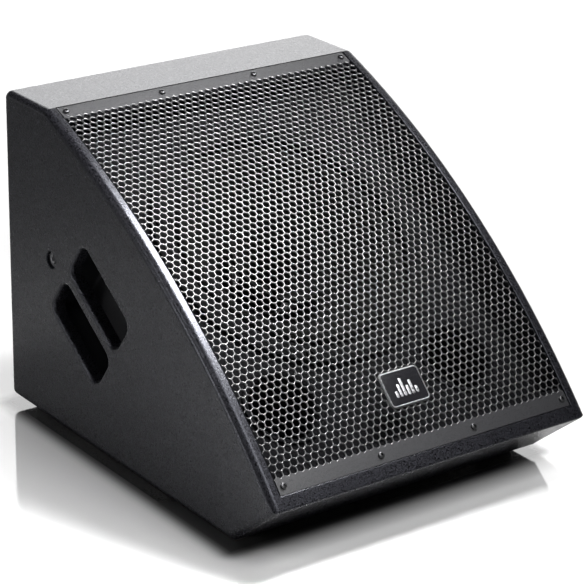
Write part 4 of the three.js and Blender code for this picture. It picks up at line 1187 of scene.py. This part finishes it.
def rotary_knob(word, looks):
    """A fluted cap on a round skirt, with a raised pointer line."""
    name, body = f"{word}_knob", f"{word}_knob_body"
    cap = ring_stack(f"{name}_cap", [fluted_ring(*row) for row in KNOB_RINGS], sharp_degrees=40.0)
    line = soft_plate(f"{name}_line", 0.0009, 0.0038, 0.0003, KNOB_TOP - 0.0006, KNOB_TOP + 0.0001, 0.0001)
    shift(line, 0, 0.0033)
    finish_piece(cap, looks["knob"], "knob_plastic", name, body=body, place=rear_place(name))
    finish_piece(line, looks["print"], "knob_plastic", body=body, place=rear_place(name))


def knob_scales(look):
    """Printed marks round each knob, from its lowest to its highest setting."""
    marks = []
    for word in KNOBS:
        for i in range(SCALE_MARKS):
            angle = math.radians(SCALE_SWEEP * (i / (SCALE_MARKS - 1) - 0.5))
            length = 0.0022 if i in (0, SCALE_MARKS // 2, SCALE_MARKS - 1) else 0.0014
            mark = soft_plate("mark", 0.0004, length, 0.00015, 0.00002, 0.0001, 0.00003)
            out = Matrix.Translation((0, SCALE_RADIUS + length / 2, 0))
            move(mark, Matrix.Rotation(angle, 4, "Z") @ out)
            marks.append(move(mark, rear_place(f"{word}_knob")))
    finish_piece(merge_objects("knob_scales", marks), look, "tray_steel")


def preset_button(look):
    """A round cap with a soft edge and a shallow dish, on a thin stem."""
    stem, cap, soft, neck = 0.002, 0.0039, 0.0007, -0.0045
    profile = [(0, -0.013), (stem, -0.013), (stem, neck), (cap, neck), (cap, BUTTON_TOP - soft)]
    profile += arc_points((cap - soft, BUTTON_TOP - soft), soft, 0, 90, 4)[1:]
    profile += [(0.0012, BUTTON_TOP - 0.0002), (0, BUTTON_TOP - 0.0003)]
    button = turned("preset_button_cap", profile, 40)
    name, body = "preset_button", "preset_button_body"
    finish_piece(button, look, "knob_plastic", name, body=body, place=rear_place(name))


def status_light(looks):
    """A domed lens in a small bezel."""
    place = rear_place("status_led")
    radius, foot, dome = 0.0024, 0.0004, 0.0019
    profile = [(0, -0.008), (radius, -0.008), (radius, foot)]
    for degrees in range(15, 91, 15):
        angle = math.radians(degrees)
        profile.append((radius * math.cos(angle), foot + dome * math.sin(angle)))
    finish_piece(turned("status_led_lens", profile), looks["led"], "led_lens", "status_led", place=place)
    inner, outer, under = 0.0026, 0.0042, 0.00005
    profile = [(inner, under), (outer, under), (outer, 0.0006)]
    profile += [(0.0038, 0.001), (0.0029, 0.001), (inner, 0.0007)]
    bezel = turned("status_led_bezel", profile, closed=True)
    finish_piece(bezel, looks["matte"], "black_plastic", place=place)


def heatsink(look):
    """Eleven fins with rounded tips on a base plate, drawn as one comb."""
    low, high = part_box("heatsink")
    root = low.y + FIN_ROOT
    half = FIN_THICKNESS / 2
    outline = [(high.x, low.y), (low.x, low.y)]
    for fin in range(FIN_COUNT):
        x = low.x + fin * FIN_PITCH
        if fin > 0:
            outline += [(x - FIN_FILLET, root), (x, root + FIN_FILLET)]
        for angle in (math.pi * k / 6 for k in range(7)):
            outline.append((x + half - half * math.cos(angle), high.y - half + half * math.sin(angle)))
        if fin < FIN_COUNT - 1:
            outline += [(x + FIN_THICKNESS, root + FIN_FILLET), (x + FIN_THICKNESS + FIN_FILLET, root)]
    sink = prism("heatsink_fins", outline, (low.z, high.z))
    shade(sink.data, 25.0)
    finish_piece(sink, look, "fin_aluminium", "heatsink")


def rear_screws(look):
    """The rim's ten screws and the connectors' small ones, as one piece."""
    heads = []

    def add(x, z, y, radius):
        head = pan_head("rear_screw", radius, radius * 0.6, radius * 0.42, count=24)
        heads.append(move(head, rear_matrix(x, z, y) @ Matrix.Rotation(len(heads) * 0.7, 4, "Z")))

    rim_x, rim_z = (TRAY_WIDTH - TRAY_RIM) / 2, (TRAY_HEIGHT - TRAY_RIM) / 2
    rim_places = [(across, up) for across in (-1, -1 / 3, 1 / 3, 1) for up in (-1, 1)] + [(-1, 0), (1, 0)]
    for across, up in rim_places:
        add(TRAY_X + across * rim_x, TRAY_Z + up * rim_z, tray_high.y, 0.0032)
    flange_y = TRAY_FLOOR + FLANGE_TOP
    for name in ("input_socket", "link_socket"):
        for side in (-1, 1):
            add(node_middle(name).x - side * 0.0103, SOCKET_Z + side * 0.0125, flange_y, 0.0016)
    middle = node_middle("mains_inlet")
    for side in (-1, 1):
        add(middle.x + side * 0.0195, middle.z, flange_y, 0.0022)
    finish_piece(merge_objects("rear_screws", heads), look, "black_screw")


def rear_panel(looks):
    rear_tray(looks["tray"])
    rear_sockets(looks)
    release_tab(looks["steel"])
    mains_inlet(looks)
    power_switch(looks)
    for word in KNOBS:
        rotary_knob(word, looks)
    knob_scales(looks["print"])
    preset_button(looks["knob"])
    status_light(looks)
    heatsink(looks["fins"])
    rear_screws(looks["screw"])


# ---- putting pieces on the frame

looks = {
    "paint": structure_paint(),
    "grille": powder_coat(),
    "matte": moulded_plastic("black_moulding", (0.012, 0.012, 0.013), 0.55),
    "gloss": moulded_plastic("badge_gloss", (0.006, 0.006, 0.007), 0.16),
    "bright": plain_metal("badge_silver", (0.62, 0.62, 0.64), 0.3),
    "steel": plain_metal("zinc_steel", (0.42, 0.42, 0.43), 0.42),
    "screw": plain_metal("black_zinc", (0.05, 0.05, 0.052), 0.35),
    "rubber": moulded_plastic("foot_rubber", (0.011, 0.011, 0.011), 0.72),
    "wood": moulded_plastic("inner_black", (0.0035, 0.0035, 0.004), 0.9, specular=0.03),
    "casting": moulded_plastic("black_casting", (0.003, 0.003, 0.0033), 0.9, specular=0.03),
    "cone": moulded_plastic("pulp_cone", (0.003, 0.003, 0.003), 0.9, specular=0.03),
    "copper": plain_metal("copper_wire", (0.75, 0.38, 0.2), 0.35),
    "coil": moulded_plastic("coil_former", (0.012, 0.008, 0.006), 0.6, specular=0.3),
    "board": moulded_plastic("circuit_board", (0.02, 0.12, 0.05), 0.4),
    "lead": moulded_plastic("lead_jacket", (0.25, 0.02, 0.02), 0.45),
    "led": moulded_plastic("led_lens", (0.1, 0.5, 0.18), 0.2),
    "tray": moulded_plastic("tray_coat", (0.022, 0.022, 0.024), 0.5),
    "pocket": moulded_plastic("pocket_moulding", (0.005, 0.005, 0.006), 0.6, specular=0.2),
    "bush": plain_metal("threaded_bush", (0.09, 0.09, 0.095), 0.5),
    "cloth": moulded_plastic("treated_cloth", (0.003, 0.003, 0.003), 0.9, scale=700.0, specular=0.03),
    "ferrite": moulded_plastic("ferrite_ring", (0.03, 0.03, 0.032), 0.7),
    "knob": moulded_plastic("knob_rubber", (0.02, 0.02, 0.021), 0.5),
    "rocker": moulded_plastic("rocker_gloss", (0.01, 0.01, 0.011), 0.22),
    "print": moulded_plastic("white_print", (0.75, 0.75, 0.75), 0.5),
    "fins": plain_metal("black_anodised", (0.05, 0.05, 0.053), 0.4),
}

SLOT_LOOKS = {
    "coated_plywood": "paint",
    "inner_wood": "wood",
    "grille_steel": "grille",
    "badge_plate": "gloss",
    "black_plastic": "matte",
    "plated_steel": "steel",
    "foot_rubber": "rubber",
    "driver_casting": "casting",
    "magnet_ferrite": "ferrite",
    "coil_copper": "copper",
    "cone_paper": "cone",
    "treated_cloth": "cloth",
    "tray_steel": "tray",
    "fin_aluminium": "fins",
    "knob_plastic": "matte",
    "led_lens": "led",
    "board_laminate": "board",
    "lead_jacket": "lead",
    "black_screw": "screw",
}

for part in frame["record"]["subparts"]:
    dress(frame["nodes"][part["node"]], looks[SLOT_LOOKS[part["material_slot"]]])
dress(frame["nodes"]["voice_coil"], looks["coil"])

PAINTED_NODES = (
    "left_side_panel",
    "right_side_panel",
    "top_panel",
    "back_panel",
    "bottom_panel",
    "lower_front_panel",
)
finish_piece(cabinet_shell(), looks["paint"], "coated_plywood", *PAINTED_NODES)
finish_piece(grille_sheet(), looks["grille"], "grille_steel", "grille")
for screw_index in range(1, SCREW_COUNT + 1):
    grille_screw(screw_index, looks["screw"])
badge_pieces(looks)
for side_word, side_sign in (("left", -1), ("right", 1)):
    handle_pocket(side_word, side_sign, looks["pocket"])
    bracket_insert(side_word, side_sign, looks["bush"])
for foot_index in range(1, 5):
    rubber_foot(foot_index, looks["rubber"])
driver_pieces(looks)
rear_panel(looks)


# ---- floor, lights and camera

FLOOR_REACH = 30.0
FLOOR_WHITE = (0.62, 0.62, 0.62)
# colour and reach of the contact shadow painted into the floor's colour
SHADE_DARK = (0.04, 0.04, 0.04)
SHADE_REACH = 0.02
WALL_TOP = 0.3
WALL_LIGHT = 0.95
CEILING_LIGHT = 0.03
GLOW_WAY = (0.62, 0.70, 0.36)
GLOW_INNER = math.cos(math.radians(12))
GLOW_OUTER = math.cos(math.radians(26))
GLOW_LIGHT = 4.1
CAMERA_PLACE = Vector((-1.20565, -1.6226, 0.96115))
CAMERA_YAW = -0.639
CAMERA_PITCH = -0.385
CAMERA_ROLL = 0.018
CAMERA_LENS = 152.66
CAMERA_SENSOR = 36.0


def floor_gloss():
    """Glossy white with a painted contact shadow: its colour darkens close round the cabinet's footprint."""
    made, tree, shader = material("floor_gloss", FLOOR_WHITE, 0.06)
    heel = FRONT_Y + RETURN_DEPTH
    steps = (
        ("SUBTRACT", (0.0, (heel + BACK_Y) / 2, 0.0)),
        ("ABSOLUTE", (0.0, 0.0, 0.0)),
        ("SUBTRACT", (HALF_WIDTH, (BACK_Y - heel) / 2, 0.0)),
        ("MAXIMUM", (0.0, 0.0, 0.0)),
        ("LENGTH", (0.0, 0.0, 0.0)),
    )
    value = place_texture(tree)
    for operation, amount in steps:
        step = node(tree, "ShaderNodeVectorMath", operation=operation)
        step.inputs[1].default_value = amount
        tree.links.new(value, step.inputs[0])
        value = step.outputs["Value" if operation == "LENGTH" else "Vector"]
    # painted shadow: the base colour runs from near black at the footprint to white within SHADE_REACH
    ramp_colour(tree, shader, value, SHADE_DARK, FLOOR_WHITE, 0.0, SHADE_REACH, "EASE")
    return made


def studio_floor():
    """A wide glossy white floor that mirrors the cabinet faintly."""
    bm = bmesh.new()
    for x, y in ((-1, -1), (1, -1), (1, 1), (-1, 1)):
        bm.verts.new((x * FLOOR_REACH, y * FLOOR_REACH, 0.0))
    bm.faces.new(bm.verts)
    floor = from_bmesh("floor", bm)
    dress(floor, floor_gloss())


def softbox(name, target, way, distance, width, height, power, spread_degrees=180):
    """An area light that stands off from a target in a direction, and faces it."""
    data = bpy.data.lights.new(name, "AREA")
    data.shape = "RECTANGLE"
    data.size = width
    data.size_y = height
    data.energy = power
    data.spread = math.radians(spread_degrees)
    light = new_object(name, data)
    out = Vector(way).normalized()
    light.location = Vector(target) + out * distance
    light.rotation_euler = (-out).to_track_quat("-Z", "Y").to_euler()


def studio_world():
    """White walls near the horizon, a dim ceiling, and a wide bright glow behind the object."""
    world = bpy.data.worlds.new("studio")
    bpy.context.scene.world = world
    world.use_nodes = True
    tree = world.node_tree
    background = tree.nodes["Background"]
    background.inputs["Color"].default_value = (1.0, 1.0, 1.0, 1.0)
    ray = node(tree, "ShaderNodeTexCoord").outputs["Generated"]
    split = node(tree, "ShaderNodeSeparateXYZ")
    tree.links.new(ray, split.inputs["Vector"])
    walls = remap(tree, split.outputs["Z"], CEILING_LIGHT, WALL_LIGHT, WALL_TOP, 0.0, "SMOOTHSTEP")
    aim = node(tree, "ShaderNodeVectorMath", operation="DOT_PRODUCT")
    aim.inputs[1].default_value = Vector(GLOW_WAY).normalized()
    tree.links.new(ray, aim.inputs[0])
    glow = remap(tree, aim.outputs["Value"], 0.0, GLOW_LIGHT, GLOW_OUTER, GLOW_INNER, "SMOOTHSTEP")
    total = node(tree, "ShaderNodeMath", operation="ADD")
    tree.links.new(walls, total.inputs[0])
    tree.links.new(glow, total.inputs[1])
    tree.links.new(total.outputs["Value"], background.inputs["Strength"])


def studio_camera():
    yaw, pitch, roll = CAMERA_YAW, CAMERA_PITCH, CAMERA_ROLL
    forward = Vector((-math.sin(yaw) * math.cos(pitch), math.cos(yaw) * math.cos(pitch), math.sin(pitch)))
    right = Vector((math.cos(yaw), math.sin(yaw), 0.0))
    up = right.cross(forward)
    side = right * math.cos(roll) + up * math.sin(roll)
    top = up * math.cos(roll) - right * math.sin(roll)
    data = bpy.data.cameras.new("camera")
    data.lens = CAMERA_LENS
    data.sensor_width = CAMERA_SENSOR
    camera = new_object("camera", data)
    axes = Matrix((side, top, -forward)).transposed().to_4x4()
    camera.matrix_world = Matrix.Translation(CAMERA_PLACE) @ axes
    bpy.context.scene.camera = camera


studio_floor()
studio_world()
softbox("front_softbox", (-0.12, -0.03, 0.2), (0.44, -0.10, 0.86), 0.75, 0.34, 0.26, 4.8, 58)
softbox("front_fill", (0.0, 0.0, 0.2), (0.03, -0.61, 0.79), 1.8, 0.8, 0.8, 33)
softbox("left_strip", (-0.167, -0.05, 0.13), (-0.95, 0.27, 0.14), 1.3, 0.12, 0.4, 6)
softbox("edge_light", (-0.16, -0.03, 0.16), (-0.74, 0.01, 0.67), 1.3, 0.50, 0.06, 0.33, 48)
studio_camera()
bpy.context.scene.view_settings.view_transform = "Standard"
